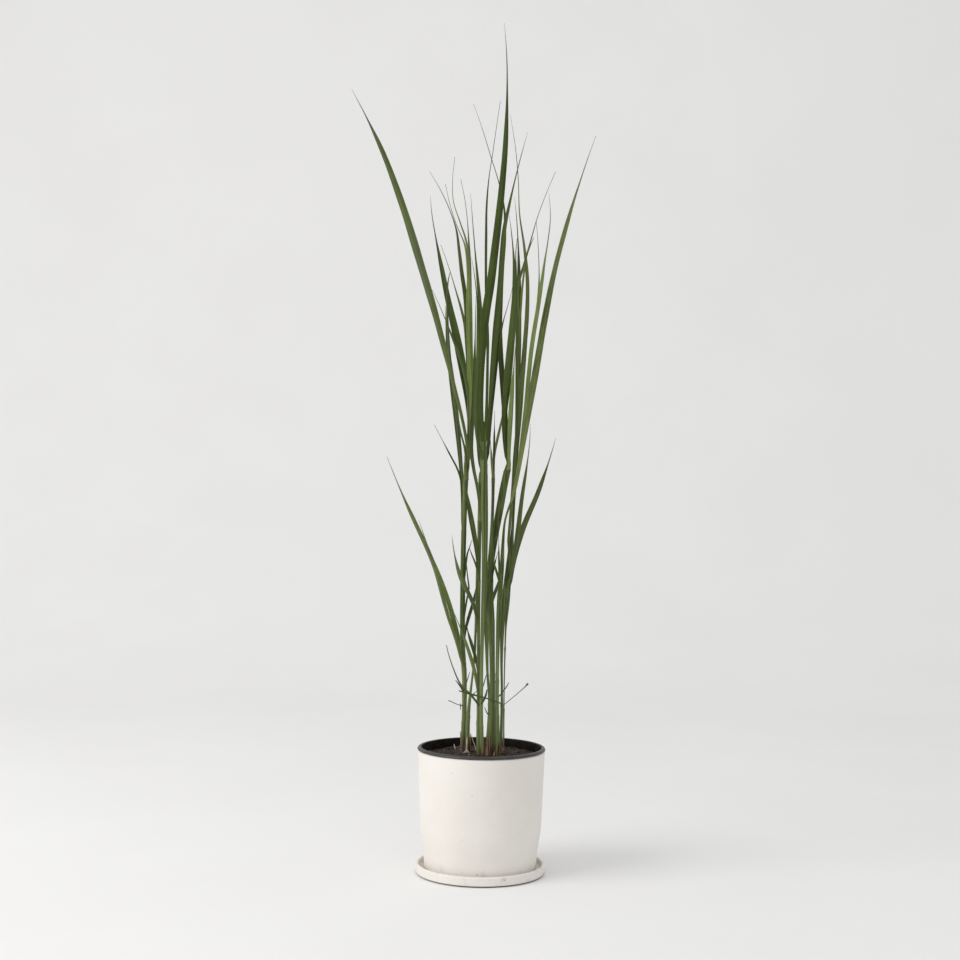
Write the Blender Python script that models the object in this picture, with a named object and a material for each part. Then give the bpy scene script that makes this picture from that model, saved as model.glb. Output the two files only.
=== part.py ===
"""A clump of ornamental grass growing in a white pot that stands on its saucer.

The origin is the centre of the saucer's underside, +Z is up and the front of the
clump looks along -Y. Sizes are in millimetres and become metres when a mesh is made.
"""
from math import cos, pi, radians, sin, sqrt, tau

import bmesh
import bpy
import numpy as np
from mathutils import Vector
from mathutils.kdtree import KDTree

MM = 0.001

# Driving dimensions
GAP = 0.3
ROUND_SEGMENTS = 40

SAUCER_RADIUS = 75.5
SAUCER_HEIGHT = 12.0
SAUCER_FLOOR = 5.0
SAUCER_WALL = 3.6
SAUCER_FOOT_RISE = 1.2

POT_FOOT_RADIUS = 66.0
POT_SHOULDER_RADIUS = 71.2
POT_TOP_RADIUS = 74.5
POT_FOOT_HEIGHT = 25.0
POT_SHOULDER_HEIGHT = 55.0
POT_TOP_HEIGHT = 143.2
POT_WALL = 5.0
POT_FLOOR = 7.0

LINER_RIM_RADIUS = 75.2
LINER_RIM_CREST = 147.0
LINER_RIM_WIDTH = 5.8
LINER_THROAT_HEIGHT = 140.5
LINER_WALL = 1.0
LINER_BASE = 1.5
LINER_DEPTH = 122.0
LINER_FLOOR_RADIUS = 56.0

SOIL_TOP = 138.5
SOIL_EDGE_DROP = 1.5
ROOT_DEPTH = 20.0

STEM_SIDES = 6
STEM_DEPTH_LIMIT = 5.6
TWIG_SIDES = 5
BLADE_STATIONS = 14
BLADE_THICKNESS = 0.5
BLADE_FOLD = 0.14
TIP_WIDTH = 0.8
SHEATH_TURN = 0.3
SHEATH_LENGTH = 0.18

# How far apart the middles of two blades stay, and how the easing apart is done
BLADE_SPACING = 1.5
STEM_SPACING = 1.1
SAMPLE_STEP = 2.5
SETTLE_ROUNDS = 26
UNSMOOTHED_ROUNDS = 5


def clear_scene():
    """Remove every object of the open scene."""
    for thing in list(bpy.data.objects):
        bpy.data.objects.remove(thing)


def material(name, colour, roughness):
    """A Principled material of one plain colour."""
    made = bpy.data.materials.new(name)
    made.use_nodes = True
    shader = made.node_tree.nodes["Principled BSDF"]
    shader.inputs["Base Color"].default_value = (*colour, 1.0)
    shader.inputs["Roughness"].default_value = roughness
    shader.inputs["Metallic"].default_value = 0.0
    made.diffuse_color = (*colour, 1.0)
    return made


def add_object(name, shape, finish, smooth_angle=None):
    """Turn a bmesh in millimetres into a named object in metres."""
    bmesh.ops.scale(shape, vec=(MM, MM, MM), verts=shape.verts)
    bmesh.ops.recalc_face_normals(shape, faces=shape.faces)
    mesh = bpy.data.meshes.new(name)
    shape.to_mesh(mesh)
    shape.free()
    if smooth_angle is not None:
        mesh.shade_smooth()
        mesh.set_sharp_from_angle(angle=radians(smooth_angle))
    mesh.materials.append(finish)
    made = bpy.data.objects.new(name, mesh)
    bpy.context.scene.collection.objects.link(made)
    return made


# Turned pieces
def turned(name, profile, finish):
    """Spin a closed profile of (radius, height) points around the upright axis."""
    shape = bmesh.new()
    ring = [shape.verts.new((radius, 0, height)) for radius, height in profile]
    edges = [shape.edges.new((a, b)) for a, b in zip(ring, ring[1:])]
    if profile[0][0] > 0:
        edges.append(shape.edges.new((ring[-1], ring[0])))
    bmesh.ops.spin(shape, geom=ring + edges, cent=(0, 0, 0), axis=(0, 0, 1),
                   angle=tau, steps=ROUND_SEGMENTS, use_merge=True)
    bmesh.ops.remove_doubles(shape, verts=shape.verts, dist=0.001)
    return add_object(name, shape, finish, smooth_angle=35)


def arc(centre, radius, start, end, steps):
    """Points of an arc in the (radius, height) plane, angles in degrees."""
    turns = np.linspace(radians(start), radians(end), steps)
    return [(centre[0] + radius * cos(a), centre[1] + radius * sin(a)) for a in turns]


def make_saucer(finish):
    """A shallow dish: flat foot, short upright wall with a rounded lip."""
    lip = SAUCER_WALL / 2
    lip_centre = (SAUCER_RADIUS - lip, SAUCER_HEIGHT - lip)
    well = SAUCER_RADIUS - SAUCER_WALL
    profile = [(0, 0), (SAUCER_RADIUS - 6, 0), (SAUCER_RADIUS - 4, 0),
               (SAUCER_RADIUS - 1, SAUCER_FOOT_RISE), (SAUCER_RADIUS, SAUCER_FOOT_RISE + 1)]
    profile += arc(lip_centre, lip, 0, 180, 5)
    profile += [(well, SAUCER_FLOOR + 1.2), (well - 1.2, SAUCER_FLOOR), (0, SAUCER_FLOOR)]
    return turned("saucer", profile, finish)


def make_pot(finish):
    """The ceramic pot: a rounded foot and a long wall that widens a little upwards."""
    base = SAUCER_FLOOR + GAP
    inner_foot = POT_FOOT_RADIUS - POT_WALL
    inner_shoulder = POT_SHOULDER_RADIUS - POT_WALL
    inner_top = POT_TOP_RADIUS - POT_WALL
    floor = base + POT_FLOOR
    profile = [(0, base), (POT_FOOT_RADIUS - 3, base), (POT_FOOT_RADIUS, base + 2.5),
               (POT_FOOT_RADIUS + 0.3, POT_FOOT_HEIGHT)]
    profile += [(POT_FOOT_RADIUS + 2.4, POT_FOOT_HEIGHT + 12),
                (POT_SHOULDER_RADIUS - 0.9, POT_SHOULDER_HEIGHT - 8),
                (POT_SHOULDER_RADIUS, POT_SHOULDER_HEIGHT + 3)]
    profile += [(POT_TOP_RADIUS, POT_TOP_HEIGHT - 1.2), (POT_TOP_RADIUS - 1.2, POT_TOP_HEIGHT),
                (inner_top + 1, POT_TOP_HEIGHT), (inner_top, POT_TOP_HEIGHT - 1)]
    profile += [(inner_shoulder, POT_SHOULDER_HEIGHT), (inner_foot, POT_FOOT_HEIGHT),
                (inner_foot - 2, floor), (0, floor)]
    return turned("pot", profile, finish)


def liner_inside(height):
    """Inner radius of the liner's tapered wall at a height."""
    floor = LINER_RIM_CREST - LINER_DEPTH + LINER_BASE
    share = (height - floor) / (LINER_THROAT_HEIGHT - floor)
    return LINER_FLOOR_RADIUS + share * (liner_throat() - LINER_FLOOR_RADIUS)


def liner_throat():
    """Inner radius of the liner just under its rim."""
    return POT_TOP_RADIUS - POT_WALL - LINER_WALL - 0.6


def make_liner(finish):
    """The plastic growing pot that hangs by its rolled rim on the ceramic rim."""
    bottom = LINER_RIM_CREST - LINER_DEPTH
    throat = liner_throat()
    roll = LINER_RIM_WIDTH / 2
    roll_centre = (LINER_RIM_RADIUS - roll, LINER_RIM_CREST - roll)
    seat = POT_TOP_HEIGHT + GAP
    floor = bottom + LINER_BASE
    profile = [(0, bottom), (LINER_FLOOR_RADIUS + LINER_WALL, bottom)]
    profile += [(throat + LINER_WALL, seat - 1.5), (throat + LINER_WALL + 1, seat),
                (LINER_RIM_RADIUS - 1.2, seat), (LINER_RIM_RADIUS, seat + 1)]
    profile += arc(roll_centre, roll, 0, 150, 6)
    profile += [(throat, LINER_THROAT_HEIGHT), (LINER_FLOOR_RADIUS, floor), (0, floor)]
    return turned("liner", profile, finish)


def make_soil(finish, stems):
    """The potting soil, level in the middle, with a hole where each stem goes in."""
    bottom = LINER_RIM_CREST - LINER_DEPTH + LINER_BASE + GAP
    rim = SOIL_TOP - SOIL_EDGE_DROP
    profile = [(0, bottom), (liner_inside(bottom) - GAP, bottom),
               (liner_inside(rim) - GAP, rim), (48, SOIL_TOP), (0, SOIL_TOP)]
    soil = turned("soil", profile, finish)
    holes = bmesh.new()
    for stem in stems:
        x, y, _, width = stem[0]
        stretch = hexagon_reach(width / 2) + GAP + 0.15
        made = bmesh.ops.create_cone(holes, cap_ends=True, segments=STEM_SIDES, radius1=stretch,
                                     radius2=stretch, depth=2 * ROOT_DEPTH)
        bmesh.ops.translate(holes, vec=(x, y, SOIL_TOP - GAP), verts=made["verts"])
    cutter = add_object("stem_holes", holes, finish)
    cutter.hide_render = True
    cutter.display_type = "WIRE"
    cut = soil.modifiers.new("stem holes", "BOOLEAN")
    cut.operation = "DIFFERENCE"
    cut.solver = "EXACT"
    cut.object = cutter
    return soil


def hexagon_reach(radius):
    """Radius of the hexagon whose flats stay outside a circle."""
    return radius / cos(pi / STEM_SIDES)


# Curves through a few points
def curve_through(knots, count):
    """Evenly spread points on a smooth curve that passes through every knot."""
    knots = np.array(knots, float)
    spans = np.linalg.norm(np.diff(knots[:, :3], axis=0), axis=1)
    times = np.concatenate([[0], np.cumsum(spans)])
    slopes = np.zeros_like(knots)
    slopes[1:-1] = (knots[2:] - knots[:-2]) / (times[2:] - times[:-2])[:, None]
    first = (knots[1] - knots[0]) / spans[0]
    last = (knots[-1] - knots[-2]) / spans[-1]
    slopes[0] = 2 * first - slopes[1] if len(knots) > 2 else first
    slopes[-1] = 2 * last - slopes[-2] if len(knots) > 2 else last
    points = []
    for time in np.linspace(0, times[-1], count):
        k = min(int(np.searchsorted(times, time, side="right")) - 1, len(spans) - 1)
        u = (time - times[k]) / spans[k]
        points.append((2 * u**3 - 3 * u**2 + 1) * knots[k]
                      + (u**3 - 2 * u**2 + u) * spans[k] * slopes[k]
                      + (3 * u**2 - 2 * u**3) * knots[k + 1]
                      + (u**3 - u**2) * spans[k] * slopes[k + 1])
    return np.array(points)


def loft(rings):
    """Join rings of equally many points into one closed body."""
    shape = bmesh.new()
    loops = [[shape.verts.new(point) for point in ring] for ring in rings]
    for lower, upper in zip(loops, loops[1:]):
        for k in range(len(lower)):
            after = (k + 1) % len(lower)
            shape.faces.new((lower[k], lower[after], upper[after], upper[k]))
    shape.faces.new(loops[0][::-1])
    shape.faces.new(loops[-1])
    bmesh.ops.triangulate(shape, faces=shape.faces)
    return shape


# Stems and twigs
def stem_line(route):
    """Stations (x, y, z, width) of a stem, its foot going straight down into the soil."""
    x, y, _, width = route[0]
    foot = np.array([[x, y, SOIL_TOP - ROOT_DEPTH, width]])
    above = curve_through([(x, y, SOIL_TOP + 2, width), *route[1:]], 2 + 2 * (len(route) - 1))
    return np.concatenate([foot, above])


def tube(name, line, sides, finish):
    """A tube of level rings along a line of (x, y, z, width) stations."""
    rings = []
    for x, y, z, width in line:
        across = width / 2
        deep = min(width, STEM_DEPTH_LIMIT) / 2
        turns = [tau * k / sides for k in range(sides)]
        rings.append([(x + across * cos(a), y + deep * sin(a), z) for a in turns])
    return add_object(name, loft(rings), finish, smooth_angle=75)


def twig(name, route, finish):
    """A dry twig, with rings square to the way it runs."""
    line = curve_through(route, 2 * len(route))
    rings = []
    for k, (x, y, z, width) in enumerate(line):
        ahead = line[min(k + 1, len(line) - 1)][:3]
        behind = line[max(k - 1, 0)][:3]
        along = Vector(ahead - behind).normalized()
        side = along.cross(Vector((0, 1, 0))).normalized()
        deep = along.cross(side)
        turns = [tau * n / TWIG_SIDES for n in range(TWIG_SIDES)]
        rings.append([Vector((x, y, z)) + (cos(a) * side + sin(a) * deep) * width / 2
                      for a in turns])
    return add_object(name, loft(rings), finish, smooth_angle=75)


# Blades
class Blade:
    """A grass blade: a folded strip that leaves its stem and arches to a thin tip.

    through holds (x, z) points seen from the front, depth the y at the foot and at the
    tip, width the foot's and the widest width, widest where along the blade that is,
    turn the angle of the widest part to the front view, arch how late the blade leans
    out and taper how late it narrows.
    """

    def __init__(self, name, through, depth, width, widest, turn, arch=1.4, taper=1.6):
        self.name = name
        self.lean = depth[1] - depth[0]
        flat = curve_through([(x, 0, z) for x, z in through], BLADE_STATIONS)
        share = np.linspace(0, 1, BLADE_STATIONS)
        self.middle = flat
        self.middle[:, 1] = depth[0] + self.lean * share**arch
        rise = np.clip(share / widest, 0, 1)
        fall = np.clip((share - widest) / (1 - widest), 0, 1)
        grown = width[0] + (width[1] - width[0]) * rise * rise * (3 - 2 * rise)
        self.width = np.where(share < widest, grown,
                              TIP_WIDTH + (width[1] - TIP_WIDTH) * (1 - fall**taper))
        opened = np.clip(share / SHEATH_LENGTH, 0, 1)
        self.turn = radians(turn) * (SHEATH_TURN + (1 - SHEATH_TURN) * opened)
        self.shift = np.zeros(BLADE_STATIONS)
        self.frame_sections()

    def frame_sections(self):
        """Side and normal of every section, from the blade's undisturbed line."""
        along = np.gradient(self.middle, axis=0)
        along /= np.linalg.norm(along, axis=1)[:, None]
        side = np.cross([0, 1, 0], along)
        side *= np.where(side[:, 0] < 0, -1, 1)[:, None]
        side /= np.linalg.norm(side, axis=1)[:, None]
        deep = np.cross(along, side)
        deep *= np.where(deep[:, 1] < 0, -1, 1)[:, None]
        self.side = np.cos(self.turn)[:, None] * side + np.sin(self.turn)[:, None] * deep
        normal = np.cross(along, self.side)
        lean = self.middle[-1] - self.middle[0]
        lean[2] = 0
        self.normal = normal if np.sum(normal @ lean) < 0 else -normal

    def centre(self):
        """The middle line with its easing shift."""
        return self.middle + np.outer(self.shift, [0, 1, 0])

    def edges(self):
        """Left edge, midrib and right edge of every section."""
        centre = self.centre()
        half = self.side * self.width[:, None] / 2
        fold = self.normal * self.width[:, None] * BLADE_FOLD / 2
        return centre - half + fold, centre - fold, centre + half + fold

    def samples(self):
        """Points spread over the strip, and the share of each station in them."""
        length = np.sum(np.linalg.norm(np.diff(self.middle, axis=0), axis=1))
        places = np.linspace(0, BLADE_STATIONS - 1, int(length / SAMPLE_STEP) + 2)
        shares = np.maximum(0, 1 - np.abs(places[:, None] - np.arange(BLADE_STATIONS)))
        left, rib, right = (shares @ row for row in self.edges())
        rows = [left, (left + rib) / 2, rib, (rib + right) / 2, right]
        return np.concatenate(rows), np.tile(shares, (len(rows), 1))

    def build(self, finish):
        """Make the blade's thin closed solid."""
        left, rib, right = self.edges()
        half = self.normal * BLADE_THICKNESS / 2
        rings = [(left[k], rib[k] - half[k], right[k], rib[k] + half[k])
                 for k in range(BLADE_STATIONS)]
        return add_object(self.name, loft(rings), finish, smooth_angle=80)


def order_in_depth(blades, posts):
    """Which of two things that cross in front view is the nearer one: +1 or -1 by pair."""
    lines = [blade.middle for blade in blades] + [post[:, :3] for post in posts]
    dense = [curve_through(line, 1 + int(np.ptp(line[:, 2]) / (2 * SAMPLE_STEP)) + len(line))
             for line in lines]
    tree = KDTree(sum(len(line) for line in dense))
    tags = []
    for tag, line in enumerate(dense):
        for x, y, z in line:
            tree.insert((x, 0, z), len(tags))
            tags.append((tag, y))
    tree.balance()
    order = {}
    for a, line in enumerate(dense[:len(blades)]):
        sums = {}
        for x, y, z in line:
            for _, index, _ in tree.find_range((x, 0, z), 6):
                b, other = tags[index]
                sums[b] = sums.get(b, 0) + y - other
        for b, total in sums.items():
            if b < len(blades):
                total += blades[a].lean - blades[b].lean
            order[a, b] = 1 if total > 0 or (total == 0 and a > b) else -1
    return order


def settle(blades, posts):
    """Ease blades that would touch apart in depth, leaving the front view as it is."""
    order = order_in_depth(blades, posts)
    post_points = [(x, y, z, width) for post in posts
                   for x, y, z, width in curve_through(post, int(np.ptp(post[:, 2]) / 2) + 12)]
    post_owner = [len(blades) + n for n, post in enumerate(posts)
                  for _ in range(int(np.ptp(post[:, 2]) / 2) + 12)]
    for turn in range(SETTLE_ROUNDS):
        clouds = [blade.samples() for blade in blades]
        points = np.concatenate([cloud for cloud, _ in clouds])
        owner = [n for n, (cloud, _) in enumerate(clouds) for _ in range(len(cloud))]
        shares = np.concatenate([share for _, share in clouds])
        tree = KDTree(len(points) + len(post_points))
        for n, point in enumerate(points):
            tree.insert(point, n)
        for n, post in enumerate(post_points):
            tree.insert(post[:3], len(points) + n)
        tree.balance()
        push = np.zeros((len(blades), BLADE_STATIONS))
        weight = np.zeros((len(blades), BLADE_STATIONS))
        for n, point in enumerate(points):
            a = owner[n]
            for other, index, _ in tree.find_range(point, STEM_SPACING + STEM_DEPTH_LIMIT / 2):
                stem = index >= len(points)
                b = post_owner[index - len(points)] if stem else owner[index]
                if a == b:
                    continue
                if stem:
                    across = min(post_points[index - len(points)][3], STEM_DEPTH_LIMIT) / 2
                wanted = across + STEM_SPACING if stem else BLADE_SPACING
                step = Vector(point) - other
                flat = step.x**2 + step.z**2
                if flat >= wanted**2:
                    continue
                ahead = order.get((a, b), 1 if a > b else -1)
                lack = ahead * sqrt(wanted**2 - flat) - step.y
                if lack * ahead > 0:
                    part = shares[n]
                    push[a] += part * lack * (1 if stem else 0.5)
                    weight[a] += part
        smooth = turn < SETTLE_ROUNDS - UNSMOOTHED_ROUNDS
        for blade, moved, counted in zip(blades, push, weight):
            blade.shift += np.where(counted > 0, moved / np.maximum(counted, 1e-6), 0)
            if smooth:
                padded = np.pad(blade.shift, 1, mode="edge")
                blade.shift = 0.5 * blade.shift + 0.25 * (padded[:-2] + padded[2:])


# Stems from left to right: the foot's x and y, then points (x, y, z, width) upwards
STEMS = {
    "a": ((-22, 28, SOIL_TOP, 6), (-21, 28, 215, 5.5), (-24, 28, 270, 6), (-24, 24, 400, 6),
          (-20, 20, 514, 5)),
    "b": ((-16, 10, SOIL_TOP, 5.5), (-16, 7, 183, 4.5), (-12, 4, 225, 2.5), (-9, 2, 262, 3),
          (-8, -4, 389, 2)),
    "c": ((-4, -18, SOIL_TOP, 4.5), (-4.5, -16, 215, 3.5), (-5.5, -13, 366, 4.5),
          (-4.5, -12, 471, 5.5)),
    "d": ((0.5, -26, SOIL_TOP, 5), (-1, -26, 245, 4), (1, -26, 367, 6.5), (0, -25, 436, 8),
          (-3.5, -24, 529, 7)),
    "e": ((7, -14, SOIL_TOP, 6.5), (9.5, -12, 203, 5), (6, -11, 235, 3), (4.5, -8, 313, 7),
          (9, -5, 399, 4), (10, -2, 472, 3.5)),
    "f": ((13, -4, SOIL_TOP, 6), (12.5, -1, 207, 6), (10, 4, 295, 7.5), (8, 3, 354, 7.5),
          (20, 1, 437, 9), (29, 0, 484, 6)),
    "g": ((19, -12, SOIL_TOP, 6), (17.5, -11, 232, 4), (18.5, -11, 308, 5.5),
          (21.5, -13, 360, 5), (24, -15, 410, 2.5), (33, -16, 440, 3)),
    "h": ((22.5, 4, SOIL_TOP, 4.5), (23.5, 5, 201, 3), (22.5, 5, 254, 3.5), (24, 6, 307, 6.5),
          (31.5, 6, 372, 7), (33, 6, 391, 4), (37, 6, 475, 2.5)),
    "i": ((26.5, 14, SOIL_TOP, 2), (27, 16, 277, 2), (30.5, 16, 330, 5), (31.5, 16, 344, 3)),
}

TWIGS = {
    "twig_left": ((-3, -22, 197, 2.3), (-13, -24, 210, 2.6), (-25, -25, 222, 1.9),
                  (-36, -28, 247, 1.2), (-42, -30, 268, 0.8)),
    "twig_long": ((24, -33, 201, 1.7), (3, -32, 208, 1.6), (-13, -33, 212, 2.3),
                  (-27, -34, 216, 1.2)),
    "twig_left_low": ((-26, 22, 192, 1.2), (-40, 18, 198, 1.1)),
    "twig_right": ((26, 8, 195, 1.2), (44, 3, 211, 1.2), (54, 0, 221, 2.1)),
}


def stem_a_blades():
    """The tall fan on the leftmost stem, and the three low blades under it."""
    return [
        Blade("leaf_a1", ((-19, 466), (-23, 510), (-43, 590), (-69, 680), (-111, 806),
                          (-154, 893)), (15, -100), (3.5, 11.5), 0.6, -42),
        Blade("leaf_a2", ((-26, 400), (-28, 466), (-38, 557), (-47, 622), (-51, 677)),
              (24, 80), (3.5, 8), 0.6, 30),
        Blade("leaf_a3", ((-19, 482), (-20, 545), (-33, 619), (-51, 698), (-69, 789),
                          (-73, 823)), (25, 130), (4, 11), 0.4, 20, taper=1.0),
        Blade("leaf_a4", ((-18, 496), (-17, 564), (-20, 625), (-23, 713), (-27, 739)),
              (14, -35), (3.5, 7.5), 0.55, -20),
        Blade("leaf_a5", ((-19, 496), (-25, 668), (-32, 718), (-38, 763), (-52, 800),
                          (-71, 834)), (22, 45), (5, 7.5), 0.4, 45),
        Blade("leaf_a6", ((-26, 436), (-30, 466), (-44, 494), (-61, 526)),
              (26, 30), (3.5, 4.5), 0.3, 60),
        Blade("leaf_a7", ((-23, 236), (-30, 264), (-43, 302), (-59, 359), (-93, 436),
                          (-113, 485)), (24, -42), (4.5, 8), 0.5, -45),
        Blade("leaf_a8", ((-23, 242), (-32, 280), (-46, 325), (-66, 374), (-80, 411)),
              (32, 75), (4, 6.5), 0.3, 30),
        Blade("leaf_a9", ((-22, 251), (-21, 278), (-9, 325), (-5, 364)),
              (31, 38), (3, 5), 0.5, -40),
        Blade("leaf_a10", ((-19, 502), (-19, 628), (-21, 712), (-25, 778), (-33, 822)),
              (26, 30), (4.5, 8), 0.4, 60),
        Blade("leaf_a11", ((-18, 508), (-21, 662), (-24, 735), (-30, 758), (-41, 790),
                           (-40, 843)), (18, 5), (4.5, 7.5), 0.3, -58),
        Blade("leaf_a12", ((-18, 490), (-21, 592), (-23, 705), (-29, 748), (-39, 768),
                           (-51, 812)), (29, 12), (5, 8.5), 0.3, -60),
        Blade("leaf_a13", ((-19, 478), (-25, 637), (-39, 695), (-57, 748)),
              (23, 60), (4.5, 7.5), 0.4, 55),
        Blade("leaf_a14", ((-19, 508), (-24, 579), (-44, 638), (-65, 685)),
              (16, 8), (4.5, 7), 0.25, -55),
    ]


def stem_c_blades():
    """Short young blades of the slender stem behind the front one."""
    return [
        Blade("leaf_c1", ((-5, 267), (-10, 310), (-28, 350), (-37, 395)),
              (-17, -34), (3, 6), 0.55, -30),
        Blade("leaf_c2", ((-4, 204), (-12, 247), (-35, 309)), (-19, -36), (3, 6), 0.4, -40),
        Blade("leaf_c3", ((-4, 226), (-8, 250), (-18, 283), (-19, 298)),
              (-10, 8), (3, 5), 0.5, 40),
        Blade("leaf_c4", ((-6, 343), (-9, 380), (-21, 446), (-22, 471)),
              (-16, 0), (2.5, 6.5), 0.5, 20),
        Blade("leaf_c5", ((-4, 413), (-7, 442), (-16, 492), (-14, 560), (-13, 675)),
              (-16, -14), (3.5, 6), 0.5, 30),
    ]


def stem_d_blades():
    """The tallest blades, on the front stem."""
    return [
        Blade("leaf_d1", ((-3, 506), (-6, 569), (-3, 635), (5, 694), (18, 825), (20, 916),
                          (16, 979)), (-29, -70), (5, 10), 0.3, 10),
        Blade("leaf_d2", ((0, 497), (2, 612), (-1, 694), (-1, 795), (4, 838), (13, 906)),
              (-20, -12), (4.5, 6.5), 0.35, 58),
        Blade("leaf_d3", ((3, 477), (8, 590), (17, 709), (20, 760), (47, 882)),
              (-22, 40), (3.5, 8), 0.4, -25),
        Blade("leaf_d4", ((-4, 465), (-9, 524), (-6, 601), (-7, 651), (-16, 747),
                          (-21, 805)), (-20, 30), (4, 6.5), 0.35, 30),
        Blade("leaf_d5", ((-4, 483), (-11, 529), (-9, 594), (-11, 659), (-18, 708)),
              (-29, -90), (3.5, 6.5), 0.35, -20),
        Blade("leaf_d6", ((3, 483), (12, 595), (19, 644), (28, 678), (31, 695)),
              (-18, -2), (4, 7), 0.35, -55),
    ]


def stem_e_blades():
    """Three thin blades at the top of the middle stem."""
    return [
        Blade("leaf_e1", ((10, 467), (11, 542)), (-3, 5), (3.5, 4), 0.3, 50, 1),
        Blade("leaf_e2", ((10, 470), (12, 495), (20, 536), (21, 563)),
              (1, 12), (3.5, 4.5), 0.4, -50, 1),
        Blade("leaf_e3", ((9, 462), (6, 509)), (-5, -10), (3, 3.5), 0.4, -40, 1),
    ]


def stem_f_blades():
    """Wide blades of the thick stem right of the middle."""
    return [
        Blade("leaf_f1", ((28, 472), (23, 537), (16, 631), (17, 690), (20, 788), (2, 859),
                          (-19, 924)), (3, 70), (4.5, 8.5), 0.22, 35, taper=0.9),
        Blade("leaf_f2", ((28, 472), (30, 545), (34, 621)), (-3, -40), (3.5, 6.5), 0.4, 30),
        Blade("leaf_f3", ((27, 474), (22, 525), (25, 572), (32, 672), (30, 712), (24, 759)),
              (-4, -75), (3.5, 9.5), 0.42, 15),
        Blade("leaf_f4", ((10, 342), (13, 361), (17, 377)), (0, -8), (3, 3), 0.4, 45, 1),
        Blade("leaf_f5", ((9, 297), (10, 314), (19, 342), (22, 363)),
              (8, 14), (3, 4.5), 0.4, -30, 1),
    ]


def stem_g_blades():
    """The long blade that arches out to the right, and two small ones."""
    return [
        Blade("leaf_g1", ((33, 437), (41, 480), (53, 552), (76, 687), (101, 789),
                          (133, 890)), (-17, 85), (4, 10.5), 0.35, -42),
        Blade("leaf_g2", ((20, 331), (18, 365), (17, 400)), (-12, -20), (3, 4.5), 0.3, 55, 1),
        Blade("leaf_g3", ((21, 329), (18, 343), (13, 359), (10, 375)), (-12, -6), (3, 4), 0.4, 40, 1),
    ]


def stem_h_blades():
    """The fan on the right, with two blades lower down."""
    return [
        Blade("leaf_h1", ((37, 455), (47, 541), (54, 620), (60, 661), (66, 710), (72, 759),
                          (70, 790)), (3, -45), (4, 6.5), 0.5, 35),
        Blade("leaf_h2", ((28, 374), (37, 494), (44, 590), (49, 677), (46, 730), (39, 772),
                          (35, 841), (26, 904)), (5, 45), (3, 8), 0.35, -35, taper=1.0),
        Blade("leaf_h3", ((36, 470), (38, 561), (39, 650), (38, 740), (33, 811)),
              (9, 75), (3.5, 6.5), 0.5, 25),
        Blade("leaf_h4", ((37, 451), (47, 538), (57, 639), (62, 687), (58, 769)),
              (9, 18), (4, 8), 0.35, -60),
        Blade("leaf_h5", ((36, 460), (38, 567), (38, 640), (37, 692), (46, 722), (57, 766),
                          (79, 824)), (5, -8), (4, 7.5), 0.35, 60),
        Blade("leaf_h6", ((29, 331), (38, 383), (43, 430), (51, 496), (52, 525)),
              (2, -30), (4, 7), 0.3, 35),
        Blade("leaf_h7", ((31, 328), (43, 392), (67, 453), (86, 513)),
              (9, 55), (4, 8), 0.4, -35),
    ]


def main():
    """Build the pot, its saucer, the soil and the whole plant."""
    clear_scene()
    ceramic = material("ceramic", (0.66, 0.62, 0.56), 0.62)
    plastic = material("black plastic", (0.035, 0.034, 0.036), 0.42)
    earth = material("soil", (0.045, 0.03, 0.02), 0.95)
    green = material("blade", (0.10, 0.19, 0.045), 0.45)
    stalk = material("stem", (0.25, 0.32, 0.11), 0.5)
    straw = material("dry twig", (0.27, 0.18, 0.09), 0.8)
    make_saucer(ceramic)
    make_pot(ceramic)
    make_liner(plastic)
    make_soil(earth, STEMS.values())
    posts = []
    for letter, route in STEMS.items():
        line = stem_line(route)
        tube("culm_" + letter, line, STEM_SIDES, stalk)
        posts.append(line)
    for name, route in TWIGS.items():
        twig(name, route, straw)
        posts.append(np.array(route, float))
    blades = (stem_a_blades() + stem_c_blades() + stem_d_blades() + stem_e_blades()
              + stem_f_blades() + stem_g_blades() + stem_h_blades())
    settle(blades, posts)
    for blade in blades:
        blade.build(green)


main()
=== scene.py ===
# %% [markdown]
# # Tall ornamental grass in a white pot
# The real plant is a young clump: nine stems rise from dark soil, and each one carries long folded
# blades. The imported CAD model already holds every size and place. This file dresses it: it loads the
# model as a fixed frame, reads lines and outlines from it, and builds finer pieces over them.

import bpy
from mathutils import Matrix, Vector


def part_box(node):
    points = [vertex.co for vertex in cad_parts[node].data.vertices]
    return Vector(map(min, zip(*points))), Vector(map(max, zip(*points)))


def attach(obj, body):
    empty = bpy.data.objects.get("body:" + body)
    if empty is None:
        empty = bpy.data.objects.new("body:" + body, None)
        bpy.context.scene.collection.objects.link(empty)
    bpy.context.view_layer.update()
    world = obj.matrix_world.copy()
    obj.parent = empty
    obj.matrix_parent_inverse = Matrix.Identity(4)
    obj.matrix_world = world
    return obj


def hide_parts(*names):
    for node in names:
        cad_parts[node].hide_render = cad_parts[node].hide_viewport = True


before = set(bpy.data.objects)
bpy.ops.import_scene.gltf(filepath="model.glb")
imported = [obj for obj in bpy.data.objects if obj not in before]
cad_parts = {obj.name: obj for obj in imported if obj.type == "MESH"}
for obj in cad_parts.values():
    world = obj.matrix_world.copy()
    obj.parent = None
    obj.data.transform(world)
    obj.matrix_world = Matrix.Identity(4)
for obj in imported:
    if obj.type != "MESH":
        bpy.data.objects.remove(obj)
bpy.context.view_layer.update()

# %% Modules for the shapes
import math
import random

import bmesh
import bpy
import numpy as np
from mathutils import Vector, noise

MM = 0.001

# %% [markdown]
# ## The camera
# The photograph was taken from a little below the middle of the plant, nearly level. A longer lens
# far away keeps the tall blades straight. The camera could be placed by eye, but here its place comes
# from the known sizes of the pot rim and the saucer, and a small roll follows the tilt of the picture.

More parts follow.
